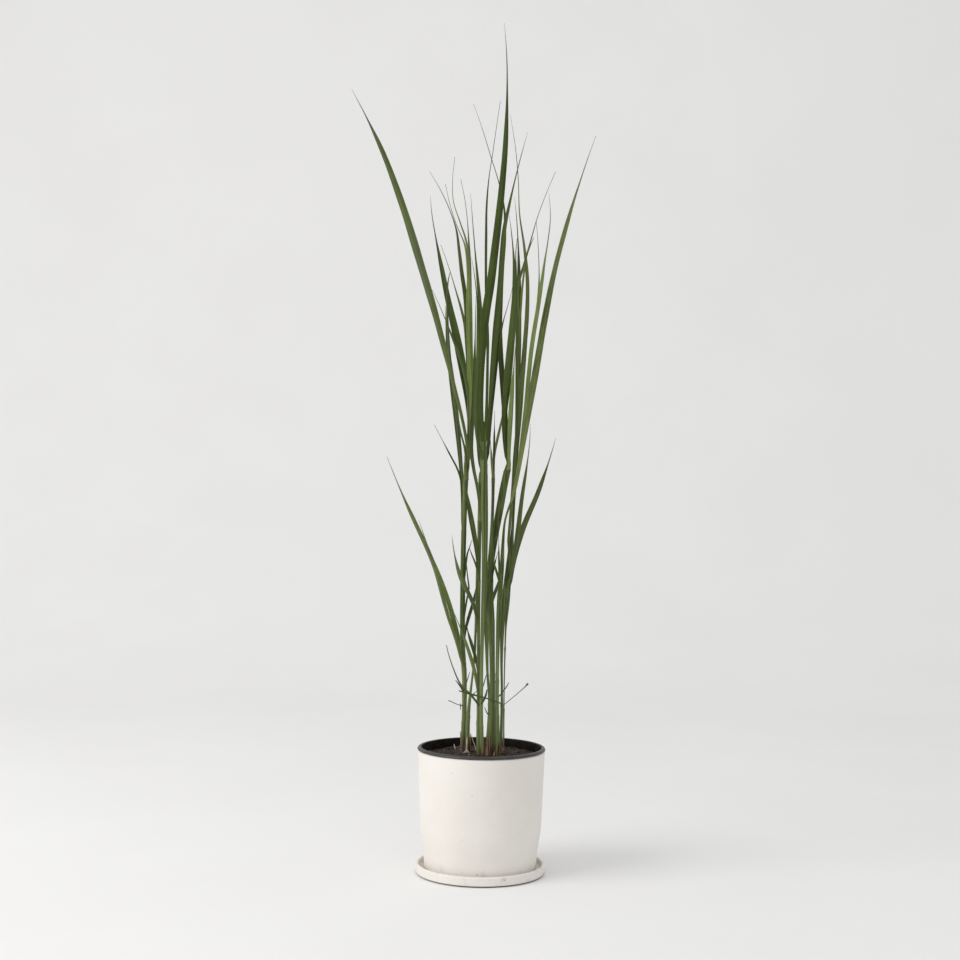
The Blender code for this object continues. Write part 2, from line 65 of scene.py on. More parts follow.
# %% Place the camera
bpy.ops.object.select_all(action="DESELECT")
bpy.ops.object.camera_add(location=(-0.0055, -1.770, 0.429))
camera = bpy.context.object
camera.name = "camera"
camera.data.sensor_width = 36.0
camera.data.lens = 56.325
PITCH_UP, ROLL = math.radians(1.0), math.radians(0.7)
camera.rotation_euler = (math.pi / 2 + PITCH_UP, 0, 0)
camera.rotation_euler.rotate_axis("Z", ROLL)
bpy.context.scene.camera = camera
print("camera at", tuple(round(x, 3) for x in camera.location), "lens", camera.data.lens)

# %% [markdown]
# ## The floor and the light
# A studio sweep is one sheet of paper that lies under the pot and curves up behind it, so no
# horizon shows. It starts as a plane; its back edge is extruded upwards and the fold is bevelled into
# a wide curve. One large soft lamp on the left gives the pot its slow change from light to grey, and
# a bright sky all round fills the rest.

# %% Helper: work on one object at a time
def select_only(piece):
    """Make one object the only selected one, and the active one."""
    bpy.ops.object.select_all(action="DESELECT")
    piece.select_set(True)
    bpy.context.view_layer.objects.active = piece


# %% The paper sweep
FLOOR_HALF, BACK_AT, WALL_HEIGHT, SWEEP_RADIUS = 5.0, 2.9, 5.5, 1.5
bpy.ops.object.select_all(action="DESELECT")
bpy.ops.mesh.primitive_plane_add(size=2 * FLOOR_HALF, location=(0, BACK_AT - FLOOR_HALF, 0))
sweep = bpy.context.object
sweep.name = sweep.data.name = "paper_sweep"
bpy.ops.object.mode_set(mode="EDIT")


def select_back_edge(piece):
    """In edit mode, select only the floor's back edge."""
    bpy.ops.mesh.select_all(action="DESELECT")
    shape = bmesh.from_edit_mesh(piece.data)
    for edge in shape.edges:
        if all(vert.co.y > FLOOR_HALF - 0.1 and vert.co.z < 0.1 for vert in edge.verts):
            edge.select_set(True)
    bmesh.update_edit_mesh(piece.data)


select_back_edge(sweep)
bpy.ops.mesh.extrude_region_move(TRANSFORM_OT_translate={"value": (0, 0, WALL_HEIGHT)})
select_back_edge(sweep)
bpy.ops.mesh.bevel(offset=SWEEP_RADIUS, segments=40, affect="EDGES")
bpy.ops.object.mode_set(mode="OBJECT")
bpy.ops.object.shade_smooth()
bpy.ops.object.transform_apply(location=True)
print("sweep faces:", len(sweep.data.polygons))

# %% The lamps and the sky
def soft_lamp(name, place, aim, size, watts, warmth=(1, 1, 1)):
    """A square area lamp that points at a place."""
    bpy.ops.object.select_all(action="DESELECT")
    bpy.ops.object.light_add(type="AREA", location=place)
    lamp = bpy.context.object
    lamp.name = name
    lamp.data.size = size
    lamp.data.energy = watts
    lamp.data.color = warmth
    lamp.rotation_euler = (Vector(aim) - Vector(place)).to_track_quat("-Z", "Y").to_euler()
    return lamp


soft_lamp("window_left", (-2.3, -1.2, 1.7), (0, 0, 0.3), 1.8, 41, (1.0, 0.985, 0.96))
sky = bpy.data.worlds.new("studio_sky")
bpy.context.scene.world = sky
sky.use_nodes = True
sky.node_tree.nodes["Background"].inputs["Color"].default_value = (0.985, 0.992, 1.0, 1)
sky.node_tree.nodes["Background"].inputs["Strength"].default_value = 0.77
bpy.context.scene.view_settings.view_transform = "Standard"

# %% [markdown]
# ## Building materials from nodes
# Every finish below is a small net of nodes. Written out in full, each would take a page, so a few
# short helpers add a node, blend two colours and stretch a value. Effects that several finishes share
# become node groups, which are built once and used in each finish with its own numbers.

# %% Helpers: nodes
def put(tree, kind, sockets=None, **settings):
    """Add a node; its sockets take numbers or the sockets of other nodes."""
    made = tree.nodes.new("ShaderNode" + kind)
    for key, value in settings.items():
        setattr(made, key, value)
    for key, value in (sockets or {}).items():
        if isinstance(value, bpy.types.NodeSocket):
            tree.links.new(value, made.inputs[key])
        else:
            made.inputs[key].default_value = value
    return made


def blend(tree, share, first, second, mode="MIX"):
    """Mix two colours."""
    made = put(tree, "Mix", data_type="RGBA", blend_type=mode)
    for index, value in ((0, share), (6, first), (7, second)):
        if isinstance(value, bpy.types.NodeSocket):
            tree.links.new(value, made.inputs[index])
        else:
            made.inputs[index].default_value = (*value, 1) if index and len(value) == 3 else value
    return made.outputs[2]


def maths(tree, operation, *values, clamp=False):
    """One sum on one or two values."""
    made = put(tree, "Math", operation=operation, use_clamp=clamp)
    for index, value in enumerate(values):
        if isinstance(value, bpy.types.NodeSocket):
            tree.links.new(value, made.inputs[index])
        else:
            made.inputs[index].default_value = value
    return made.outputs[0]


def stretch(tree, value, low, high, to_low=0.0, to_high=1.0):
    """Ease a value from one range to another, without overshoot."""
    return put(tree, "MapRange", {"Value": value, "From Min": low, "From Max": high,
                                  "To Min": to_low, "To Max": to_high},
               interpolation_type="SMOOTHSTEP").outputs[0]


# %% Helpers: groups and finishes
def new_group(name, inputs, outputs):
    """An empty node group with named inputs and outputs."""
    group = bpy.data.node_groups.new(name, "ShaderNodeTree")
    for label, kind, value in inputs:
        made = group.interface.new_socket(name=label, in_out="INPUT", socket_type=kind)
        made.default_value = value
    for label, kind in outputs:
        group.interface.new_socket(name=label, in_out="OUTPUT", socket_type=kind)
    return group, group.nodes.new("NodeGroupInput"), group.nodes.new("NodeGroupOutput")


def use_group(tree, group, **values):
    """Place a group in a tree and set its inputs, written with _ for a space."""
    made = put(tree, "Group", node_tree=group)
    for key, value in values.items():
        made.inputs[key.replace("_", " ")].default_value = value
    return made


def new_finish(name, roughness=0.5):
    """A material with a Principled shader; returns it, its tree and the shader."""
    finish = bpy.data.materials.new(name)
    finish.use_nodes = True
    shader = finish.node_tree.nodes["Principled BSDF"]
    shader.inputs["Roughness"].default_value = roughness
    return finish, finish.node_tree, shader


def raise_surface(tree, shader, height, distance, strength=1.0):
    """Feed a height in 0..1 to the shader's normal as a bump of a real depth in metres."""
    bump = put(tree, "Bump", {"Height": height, "Distance": distance, "Strength": strength})
    tree.links.new(bump.outputs["Normal"], shader.inputs["Normal"])


# %% [markdown]
# ## Shared effects: clouds and specks
# Nothing real has one even colour. "clouds" gives a soft patchy value at a chosen grain, and "specks"
# gives rare small dots, such as the iron spots in fired clay. Both read Object coordinates, which
# are metres here because every piece sits at the origin.

# %% Group: clouds
clouds, group_in, group_out = new_group(
    "clouds",
    [("Grain", "NodeSocketFloat", 40.0), ("Rough", "NodeSocketFloat", 0.55),
     ("Low", "NodeSocketFloat", 0.35), ("High", "NodeSocketFloat", 0.65)],
    [("Value", "NodeSocketFloat")])
places = put(clouds, "TexCoord").outputs["Object"]
patchy = put(clouds, "TexNoise", {"Vector": places, "Scale": group_in.outputs["Grain"],
                                  "Roughness": group_in.outputs["Rough"], "Detail": 4.0})
spread = put(clouds, "MapRange", {"Value": patchy.outputs[0], "From Min": group_in.outputs["Low"],
                                  "From Max": group_in.outputs["High"]},
             interpolation_type="SMOOTHSTEP")
clouds.links.new(spread.outputs[0], group_out.inputs["Value"])

# %% Group: specks
specks, group_in, group_out = new_group(
    "specks",
    [("Grain", "NodeSocketFloat", 300.0), ("Size", "NodeSocketFloat", 0.16),
     ("Rarity", "NodeSocketFloat", 0.9)],
    [("Mask", "NodeSocketFloat")])
places = put(specks, "TexCoord").outputs["Object"]
cells = put(specks, "TexVoronoi", {"Vector": places, "Scale": group_in.outputs["Grain"]})
dots = put(specks, "MapRange", {"Value": cells.outputs["Distance"],
                                "From Min": group_in.outputs["Size"], "From Max": 0.04})
chosen = put(specks, "SeparateColor", {"Color": cells.outputs["Color"]})
kept = maths(specks, "GREATER_THAN", chosen.outputs[0], group_in.outputs["Rarity"])
mask = maths(specks, "MULTIPLY", dots.outputs[0], kept)
specks.links.new(mask, group_out.inputs["Mask"])

# %% Group: one spot at a chosen place
spot, group_in, group_out = new_group(
    "spot", [("Place", "NodeSocketVector", (0, 0, 0)), ("Radius", "NodeSocketFloat", 0.001)],
    [("Mask", "NodeSocketFloat")])
gap = put(spot, "VectorMath", {0: put(spot, "TexCoord").outputs["Object"],
                               1: group_in.outputs["Place"]}, operation="DISTANCE").outputs["Value"]
share = maths(spot, "DIVIDE", gap, group_in.outputs["Radius"])
spot.links.new(stretch(spot, share, 1.0, 0.5), group_out.inputs["Mask"])
print("groups:", [group.name for group in bpy.data.node_groups])

# %% Finish: the paper sweep
paper, tree, shader = new_finish("paper_white", 0.85)
pulp = use_group(tree, clouds, Grain=3.0, Low=0.3, High=0.7).outputs[0]
tree.links.new(blend(tree, pulp, (0.868, 0.862, 0.855), (0.885, 0.880, 0.874)),
               shader.inputs["Base Color"])
sweep.data.materials.append(paper)

# %% [markdown]
# ## The ceramic finish
# Pot and saucer are off-white stoneware with a silky matt glaze: a faint warm and cool drift in the
# white, very fine pits, throwing lines that only show at a grazing look, and a few brown specks.

# %% Finish: ceramic
IRON_SPOTS = [(-3.4, -66.0, 12.6, 1.1, 0.7), (27.5, -70.3, 7.9, 0.9, 0.75),
              (-20.8, -67.5, 50.9, 0.9, 0.25), (-10.1, -72.2, 102.6, 1.0, 0.3)]
ceramic, tree, shader = new_finish("ceramic_off_white")
drift = use_group(tree, clouds, Grain=14.0, Low=0.3, High=0.7).outputs[0]
fine = use_group(tree, clouds, Grain=420.0, Rough=0.6, Low=0.3, High=0.7).outputs[0]
glaze = blend(tree, drift, (0.780, 0.740, 0.688), (0.820, 0.787, 0.742))
glaze = blend(tree, maths(tree, "MULTIPLY", fine, 0.10), glaze, (0.66, 0.62, 0.55))
iron = use_group(tree, specks, Grain=150.0, Size=0.13, Rarity=0.972).outputs[0]
faint_iron = use_group(tree, specks, Grain=330.0, Size=0.12, Rarity=0.965).outputs[0]
glaze = blend(tree, maths(tree, "MULTIPLY", iron, 0.8), glaze, (0.20, 0.125, 0.07))
glaze = blend(tree, maths(tree, "MULTIPLY", faint_iron, 0.45), glaze, (0.42, 0.33, 0.23))
height = put(tree, "SeparateXYZ", {"Vector": put(tree, "TexCoord").outputs["Object"]}).outputs[2]
# Patchy brown-grey darkening of the glaze towards the bottom, below 21 mm.
low_patches = use_group(tree, clouds, Grain=70.0, Rough=0.65, Low=0.50, High=0.72).outputs[0]
low_patches = maths(tree, "MULTIPLY", low_patches, stretch(tree, height, 0.021, 0.012))
glaze = blend(tree, maths(tree, "MULTIPLY", low_patches, 0.35), glaze, (0.36, 0.31, 0.26))
# Painted contact shadow: the lowest 2 mm of the saucer darken to a brown-black line where it stands on
# the floor.
glaze = blend(tree, stretch(tree, height, 0.0019, 0.0013), glaze, (0.13, 0.10, 0.085))
for x, y, z, radius, depth in IRON_SPOTS:
    mark = use_group(tree, spot, Place=(x * MM, y * MM, z * MM), Radius=radius * MM).outputs[0]
    glaze = blend(tree, maths(tree, "MULTIPLY", mark, depth), glaze, (0.16, 0.11, 0.07))
tree.links.new(glaze, shader.inputs["Base Color"])
tree.links.new(stretch(tree, drift, 0, 1, 0.50, 0.62), shader.inputs["Roughness"])
shader.inputs["Coat Weight"].default_value = 0.06
shader.inputs["Coat Roughness"].default_value = 0.45
throwing = maths(tree, "SINE", maths(tree, "MULTIPLY", height, 2100.0))
relief = maths(tree, "ADD", maths(tree, "MULTIPLY", throwing, 0.16), fine)
raise_surface(tree, shader, relief, 0.00012, 0.55)

# %% [markdown]
# ## Turned pieces: saucer, pot and growing pot
# All three are round, so one outline spun about the upright axis gives each of them. The outline is
# read from the CAD node, where it is a plain polygon, and its corners are rounded here the way a
# potter's sponge or a mould rounds them. In the editor: merge a plane to one vertex, extrude it from
# point to point, and spin the line through a full turn.

# %% Helpers: read an outline and round it
def outline_of(node):
    """The CAD node's outline in the half plane where y is 0 and x is positive, foot to floor."""
    shape = bmesh.new()
    shape.from_mesh(node.data)
    bmesh.ops.remove_doubles(shape, verts=shape.verts, dist=1e-6)
    side = [v for v in shape.verts if abs(v.co.y) < 1e-6 and v.co.x > 0]
    beside = {v: [w for w in (e.other_vert(v) for e in v.link_edges) if w in side] for v in side}
    walk = [min((v for v in side if len(beside[v]) == 1), key=lambda v: v.co.z)]
    while any(v not in walk for v in beside[walk[-1]]):
        walk.append(next(v for v in beside[walk[-1]] if v not in walk))
    outline = [(0, walk[0].co.z), *((v.co.x, v.co.z) for v in walk), (0, walk[-1].co.z)]
    shape.free()
    return outline


def rounded(outline, sharp_cut, soft_cut, steps=6):
    """Cut each corner with a small curve: sharp corners by sharp_cut, shallow ones by soft_cut."""
    points = [np.array(p) for p in outline]
    made = [points[0]]
    for before, here, after in zip(points, points[1:], points[2:]):
        back, ahead = before - here, after - here
        reach = min(np.linalg.norm(back), np.linalg.norm(ahead)) * 0.48
        turn = np.dot(back, ahead) / (np.linalg.norm(back) * np.linalg.norm(ahead))
        cut = min(soft_cut if turn < -0.9 else sharp_cut, reach)
        start = here + back / np.linalg.norm(back) * cut
        end = here + ahead / np.linalg.norm(ahead) * cut
        for t in np.linspace(0, 1, steps):
            made.append((1 - t)**2 * start + 2 * t * (1 - t) * here + t**2 * end)
    return made + [points[-1]]


# %% Helper: spin an outline
SPIN_STEPS = 144


def turn_on_wheel(name, outline, steps=SPIN_STEPS):
    """Extrude one vertex along an outline and spin the line round the upright axis."""
    bpy.ops.object.select_all(action="DESELECT")
    bpy.ops.mesh.primitive_plane_add(size=0.01)
    piece = bpy.context.object
    piece.name = piece.data.name = name
    bpy.ops.object.mode_set(mode="EDIT")
    bpy.ops.mesh.merge(type="CENTER")
    bpy.ops.transform.translate(value=(outline[0][0], 0, outline[0][1]))
    for a, b in zip(outline, outline[1:]):
        step = (b[0] - a[0], 0, b[1] - a[1])
        bpy.ops.mesh.extrude_region_move(TRANSFORM_OT_translate={"value": step})
    bpy.ops.mesh.select_all(action="SELECT")
    bpy.ops.mesh.spin(steps=steps, angle=math.tau, center=(0, 0, 0), axis=(0, 0, 1))
    bpy.ops.mesh.select_all(action="SELECT")
    bpy.ops.mesh.remove_doubles(threshold=1e-6)
    bpy.ops.mesh.normals_make_consistent(inside=False)
    bpy.ops.object.mode_set(mode="OBJECT")
    bpy.ops.object.shade_smooth_by_angle(angle=math.radians(50))
    return piece


def hand_over(piece, slot, finish, *nodes):
    """Give a finished piece its material and its place on the body; its slot is not used."""
    piece.data.materials.clear()
    piece.data.materials.append(finish)
    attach(piece, "root")
    if nodes:
        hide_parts(*nodes)


# %% The saucer and the pot
saucer = turn_on_wheel("saucer_fired", rounded(outline_of(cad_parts["saucer"]),
                                               1.1 * MM, 3 * MM))
hand_over(saucer, "ceramic", ceramic, "saucer")
pot = turn_on_wheel("pot_fired", rounded(outline_of(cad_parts["pot"]), 1.6 * MM, 14 * MM, 9))
hand_over(pot, "ceramic", ceramic, "pot")
print("saucer faces:", len(saucer.data.polygons), "pot faces:", len(pot.data.polygons))

# %% [markdown]
# ## The dark growing pot
# Nursery pots are thin dark plastic with a rolled rim. The rim catches one thin line of light. Inside
# the rim the plastic is painted almost black as painted shade, and soil dust makes it browner and duller
# there.

# %% Finish: dark plastic
plastic, tree, shader = new_finish("dark_plastic")
dust = use_group(tree, clouds, Grain=95.0, Rough=0.7, Low=0.42, High=0.72).outputs[0]
scuff = use_group(tree, clouds, Grain=900.0, Rough=0.5, Low=0.45, High=0.75).outputs[0]
flat_place = put(tree, "VectorMath", {0: put(tree, "TexCoord").outputs["Object"], 1: (1, 1, 0)},
                 operation="MULTIPLY")
out = put(tree, "VectorMath", {0: flat_place.outputs[0]}, operation="LENGTH").outputs["Value"]
on_rim = stretch(tree, out, 0.0700, 0.0715)
# Painted shade: inside the rim the plastic is almost black, with a brown tint of soil dust.
inside = blend(tree, dust, (0.007, 0.005, 0.004), (0.020, 0.013, 0.010))
shade = blend(tree, dust, (0.022, 0.020, 0.020), (0.046, 0.040, 0.037))
shade = blend(tree, maths(tree, "MULTIPLY", scuff, 0.25), shade, (0.11, 0.10, 0.095))
tree.links.new(blend(tree, on_rim, inside, shade), shader.inputs["Base Color"])
tree.links.new(stretch(tree, on_rim, 0, 1, 0.85, 0.42), shader.inputs["Roughness"])
tree.links.new(stretch(tree, on_rim, 0, 1, 0.08, 0.5), shader.inputs["Specular IOR Level"])
raise_surface(tree, shader, scuff, 0.00006, 0.5)

# %% The growing pot
liner = turn_on_wheel("growing_pot", rounded(outline_of(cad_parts["liner"]),
                                             0.5 * MM, 1.4 * MM, 4))
hand_over(liner, "liner_plastic", plastic, "liner")
print("growing pot faces:", len(liner.data.polygons))

# %% [markdown]
# ## The soil
# Potting soil is a lumpy surface of fibre and crumbs. The lump below is turned like the pots, with
# closely spaced rings on top, and then each top vertex is lifted or lowered by layered noise. Loose
# crumbs are small angular stones: a few are modelled, and many copies are laid over the surface.

# %% Finishes: soil, crumbs and pale bits
soil_finish, tree, shader = new_finish("soil_dark", 0.92)
damp = use_group(tree, clouds, Grain=60.0, Rough=0.65, Low=0.35, High=0.68).outputs[0]
grit = use_group(tree, clouds, Grain=650.0, Rough=0.7, Low=0.38, High=0.66).outputs[0]
earth = blend(tree, damp, (0.007, 0.004, 0.003), (0.045, 0.031, 0.025))
earth = blend(tree, maths(tree, "MULTIPLY", grit, 0.6), earth, (0.105, 0.078, 0.064))
tree.links.new(earth, shader.inputs["Base Color"])
tree.links.new(stretch(tree, damp, 0, 1, 0.78, 0.97), shader.inputs["Roughness"])
raise_surface(tree, shader, grit, 0.0006, 0.8)

pale_finish, tree, shader = new_finish("pale_bits", 0.8)
chalky = use_group(tree, clouds, Grain=800.0, Low=0.3, High=0.7).outputs[0]
tree.links.new(blend(tree, chalky, (0.30, 0.22, 0.15), (0.66, 0.58, 0.47)),
               shader.inputs["Base Color"])
raise_surface(tree, shader, chalky, 0.0002, 0.6)

# %% The lump of soil
soil_low, soil_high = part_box("soil")
SOIL_RINGS = 56


def soil_height(x, y):
    """Height of the soil's surface at a place: level, a little lower at its edge, and lumpy."""
    out = math.hypot(x, y) / soil_high.x
    place = Vector((x, y, 0.37))
    lumps = noise.noise(place / (17 * MM)) * 1.5 + noise.noise(place / (6.5 * MM)) * 1.2
    lumps += noise.noise(place / (2.6 * MM)) * 0.8
    return soil_high.z - 0.5 * MM + (lumps - 2.0 * max(0.0, out - 0.75) / 0.25) * MM


top_edge = soil_high.z - 2.5 * MM
soil_outline = [(0, soil_low.z), (soil_high.x - 11 * MM, soil_low.z), (soil_high.x, top_edge)]
soil_outline += [(soil_high.x * (1 - k / SOIL_RINGS), top_edge) for k in range(1, SOIL_RINGS + 1)]
soil = turn_on_wheel("soil_lumpy", soil_outline, 180)
for vertex in soil.data.vertices:
    if vertex.co.z > top_edge - 0.1 * MM and vertex.co.xy.length < soil_high.x - 0.2 * MM:
        vertex.co.z = soil_height(vertex.co.x, vertex.co.y)
hand_over(soil, "soil", soil_finish, "soil")
print("soil faces:", len(soil.data.polygons))

# %% Helper: many small copies in one mesh
def scatter(name, models, spots):
    """Join copies of small models, (points, faces), each turned, scaled and set on its spot."""
    points, faces, total = [], [], 0
    for which, place, size, turn in spots:
        base, shape_faces = models[which]
        lay = np.array(turn.to_matrix())
        points.append((base * np.array(size)) @ lay.T + np.array(place))
        faces += [[total + k for k in face] for face in shape_faces]
        total += len(base)
    mesh = bpy.data.meshes.new(name)
    mesh.from_pydata(np.concatenate(points).tolist(), [], faces)
    piece = bpy.data.objects.new(name, mesh)
    bpy.context.scene.collection.objects.link(piece)
    return piece


def stone_models(count, subdivisions, seed):
    """A few angular stones: ico spheres with their points pushed about."""
    draw = random.Random(seed)
    models = []
    for _ in range(count):
        bpy.ops.object.select_all(action="DESELECT")
        bpy.ops.mesh.primitive_ico_sphere_add(subdivisions=subdivisions, radius=1)
        stone = bpy.context.object
        shift = draw.random() * 50
        points = []
        for vertex in stone.data.vertices:
            push = 1 + 0.55 * noise.noise(vertex.co * 1.4 + Vector((shift, 0, 0)))
            points.append(vertex.co * push * draw.uniform(0.86, 1.1))
        models.append((np.array(points), [list(p.vertices) for p in stone.data.polygons]))
        bpy.data.objects.remove(stone)
    return models


# %% Crumbs on the soil
def soil_spots(count, smallest, largest, seed, models, squash=0.75, long=1.0):
    """Random spots on the soil's surface, each with a model, a size and a turn."""
    draw = random.Random(seed)
    spots = []
    while len(spots) < count:
        x, y = (draw.uniform(-1, 1) * soil_high.x * 0.965 for _ in range(2))
        if math.hypot(x, y) > soil_high.x * 0.965:
            continue
        size = smallest + (largest - smallest) * draw.random()**2.2
        turn = Vector((draw.gauss(0, 0.35), draw.gauss(0, 0.35), 1)).to_track_quat("Z", "Y")
        turn = turn @ Vector((math.cos(draw.random() * 6.3), math.sin(draw.random() * 6.3), 0)
                             ).to_track_quat("X", "Z")
        place = (x, y, soil_height(x, y) + size * 0.2)
        spots.append((draw.randrange(models), place, (size * long, size, size * squash), turn))
    return spots


big_stones, small_stones = stone_models(6, 2, 11), stone_models(6, 1, 12)
crumbs = scatter("soil_crumbs", big_stones, soil_spots(320, 0.9 * MM, 2.6 * MM, 21, 6))
hand_over(crumbs, "soil", soil_finish)
grains = scatter("soil_grains", small_stones, soil_spots(2600, 0.35 * MM, 1.0 * MM, 22, 6))
hand_over(grains, "soil", soil_finish)
flecks = scatter("pale_flecks", small_stones, soil_spots(46, 0.35 * MM, 1.1 * MM, 23, 6, 0.5, 2.2))
hand_over(flecks, "soil", pale_finish)
print("crumbs:", len(crumbs.data.polygons) + len(grains.data.polygons), "faces")

# %% [markdown]
# ## The green finishes
# A grass blade has parallel veins, one stronger midrib, a paler foot and often a dry tip. These marks
# follow the blade however it bends, so they read its UV map: u runs across the blade and v from foot
# to tip. One group draws the marks, and each green below uses it with its own colours.

# %% Group: blade marks
marks, group_in, group_out = new_group(
    "blade_marks",
    [("Veins", "NodeSocketFloat", 15.0), ("Rib Width", "NodeSocketFloat", 0.07),
     ("Dry Tip", "NodeSocketFloat", 0.80)],
    [("Rib", "NodeSocketFloat"), ("Veins", "NodeSocketFloat"), ("Foot", "NodeSocketFloat"),
     ("Tip", "NodeSocketFloat"), ("Edge", "NodeSocketFloat"), ("Mottle", "NodeSocketFloat")])
coords = put(marks, "TexCoord")
uv = put(marks, "SeparateXYZ", {"Vector": coords.outputs["UV"]})
across = maths(marks, "ABSOLUTE", maths(marks, "SUBTRACT", uv.outputs[0], 0.5))
rib_out = put(marks, "MapRange", {"Value": across, "From Min": group_in.outputs["Rib Width"],
                                  "From Max": 0.0}, interpolation_type="SMOOTHSTEP")
stripes = maths(marks, "MULTIPLY", uv.outputs[0], group_in.outputs["Veins"])
stripes = maths(marks, "SINE", maths(marks, "MULTIPLY", stripes, math.tau))
stripes = stretch(marks, stripes, -1, 1)
long_noise = put(marks, "Mapping", {"Vector": coords.outputs["Object"], "Scale": (260, 260, 9)})
mottle = put(marks, "TexNoise", {"Vector": long_noise.outputs[0], "Scale": 1.0, "Detail": 3.0})
mottle = stretch(marks, mottle.outputs[0], 0.3, 0.7)
worn = maths(marks, "ADD", uv.outputs[1], maths(marks, "MULTIPLY", mottle, 0.02))
tip = put(marks, "MapRange", {"Value": worn, "From Min": group_in.outputs["Dry Tip"],
                              "From Max": 1.01}, interpolation_type="SMOOTHSTEP")
marks.links.new(rib_out.outputs[0], group_out.inputs["Rib"])
marks.links.new(stripes, group_out.inputs["Veins"])
marks.links.new(stretch(marks, uv.outputs[1], 0.16, 0.0), group_out.inputs["Foot"])
marks.links.new(tip.outputs[0], group_out.inputs["Tip"])
marks.links.new(stretch(marks, across, 0.40, 0.5), group_out.inputs["Edge"])
marks.links.new(mottle, group_out.inputs["Mottle"])

# %% Finishes: the greens
TIP_BROWN = (0.080, 0.066, 0.050)


def times(colour, factor):
    """The same colour made lighter or darker."""
    return tuple(part * factor for part in colour)


def plant_finish(name, roughness):
    """A finish with the weak, green-tinted gloss of a leaf."""
    finish, tree, shader = new_finish(name, roughness)
    shader.inputs["Specular IOR Level"].default_value = 0.22
    shader.inputs["Specular Tint"].default_value = (0.9, 1.0, 0.7, 1)
    return finish, tree, shader


def green_finish(name, base, roughness=0.48):
    """A blade's finish, made from one green."""
    finish, tree, shader = plant_finish(name, roughness)
    drawn = use_group(tree, marks)
    drift = use_group(tree, clouds, Grain=26.0, Low=0.32, High=0.68).outputs[0]
    cool = use_group(tree, clouds, Grain=11.0, Rough=0.4, Low=0.52, High=0.70).outputs[0]
    both = maths(tree, "MULTIPLY", maths(tree, "ADD", drift, drawn.outputs["Mottle"]), 0.5)
    colour = blend(tree, both, times(base, 0.66), times(base, 1.3))
    colour = blend(tree, maths(tree, "MULTIPLY", cool, 0.45), colour,
                   (base[0] * 0.95, base[1], base[1] * 0.62))
    colour = blend(tree, maths(tree, "MULTIPLY", drawn.outputs["Veins"], 0.25), colour,
                   times(base, 1.45))
    colour = blend(tree, maths(tree, "MULTIPLY", drawn.outputs["Rib"], 0.5), colour, times(base, 2.1))
    colour = blend(tree, maths(tree, "MULTIPLY", drawn.outputs["Foot"], 0.4), colour, times(base, 1.8))
    colour = blend(tree, maths(tree, "MULTIPLY", drawn.outputs["Edge"], 0.4), colour, times(base, 2.0))
    colour = blend(tree, maths(tree, "MULTIPLY", drawn.outputs["Tip"], 0.8), colour, TIP_BROWN)
    tree.links.new(colour, shader.inputs["Base Color"])
    tree.links.new(stretch(tree, both, 0, 1, roughness - 0.06, roughness + 0.12),
                   shader.inputs["Roughness"])
    relief = maths(tree, "ADD", drawn.outputs["Veins"], drawn.outputs["Mottle"])
    raise_surface(tree, shader, relief, 0.00012, 0.5)
    return finish


# The greens are one finish at seven brightnesses. A blade's green is partly its own tone and partly
# painted light and shade, from dark to sunlit.
GREENS = {
    "dark": green_finish("green_dark", (0.043, 0.063, 0.012)),
    "deep": green_finish("green_deep", (0.056, 0.080, 0.020)),
    "mid": green_finish("green_mid", (0.070, 0.092, 0.028)),
    "olive": green_finish("green_olive", (0.088, 0.114, 0.036)),
    "light": green_finish("green_light", (0.108, 0.135, 0.045)),
    "bright": green_finish("green_bright", (0.130, 0.172, 0.045)),
    "sunlit": green_finish("green_sunlit", (0.165, 0.210, 0.070)),
}
LEAF_TONES = {
    "dark": "a9 d1 d3 d5 d6 e1 f4",
    "deep": "d2 f1 f3 g2 h3 a3 a14",
    "olive": "c1 c2 a7 d4 e2 h5",
    "light": "g1 a2 c5 e3 g3 h2 a5 a10 a11",
    "bright": "a4 a13 a12 a8 h4",
    "sunlit": "f2 h1",
}
tone_of = {leaf: tone for tone, leaves in LEAF_TONES.items() for leaf in leaves.split()}
print("leaf finishes:", len(GREENS), "leaves with their own tone:", len(tone_of))

# %% [markdown]
# ## The stem finish
# Stems are wrapped in leaf sheaths: as dark as the blades high up, lighter near the soil, and drawn
# with long streaks; fine pale streaks over them are painted highlights. At the soil the oldest
# sheaths are straw, ochre, pink or rust, with dark gaps between their shreds.

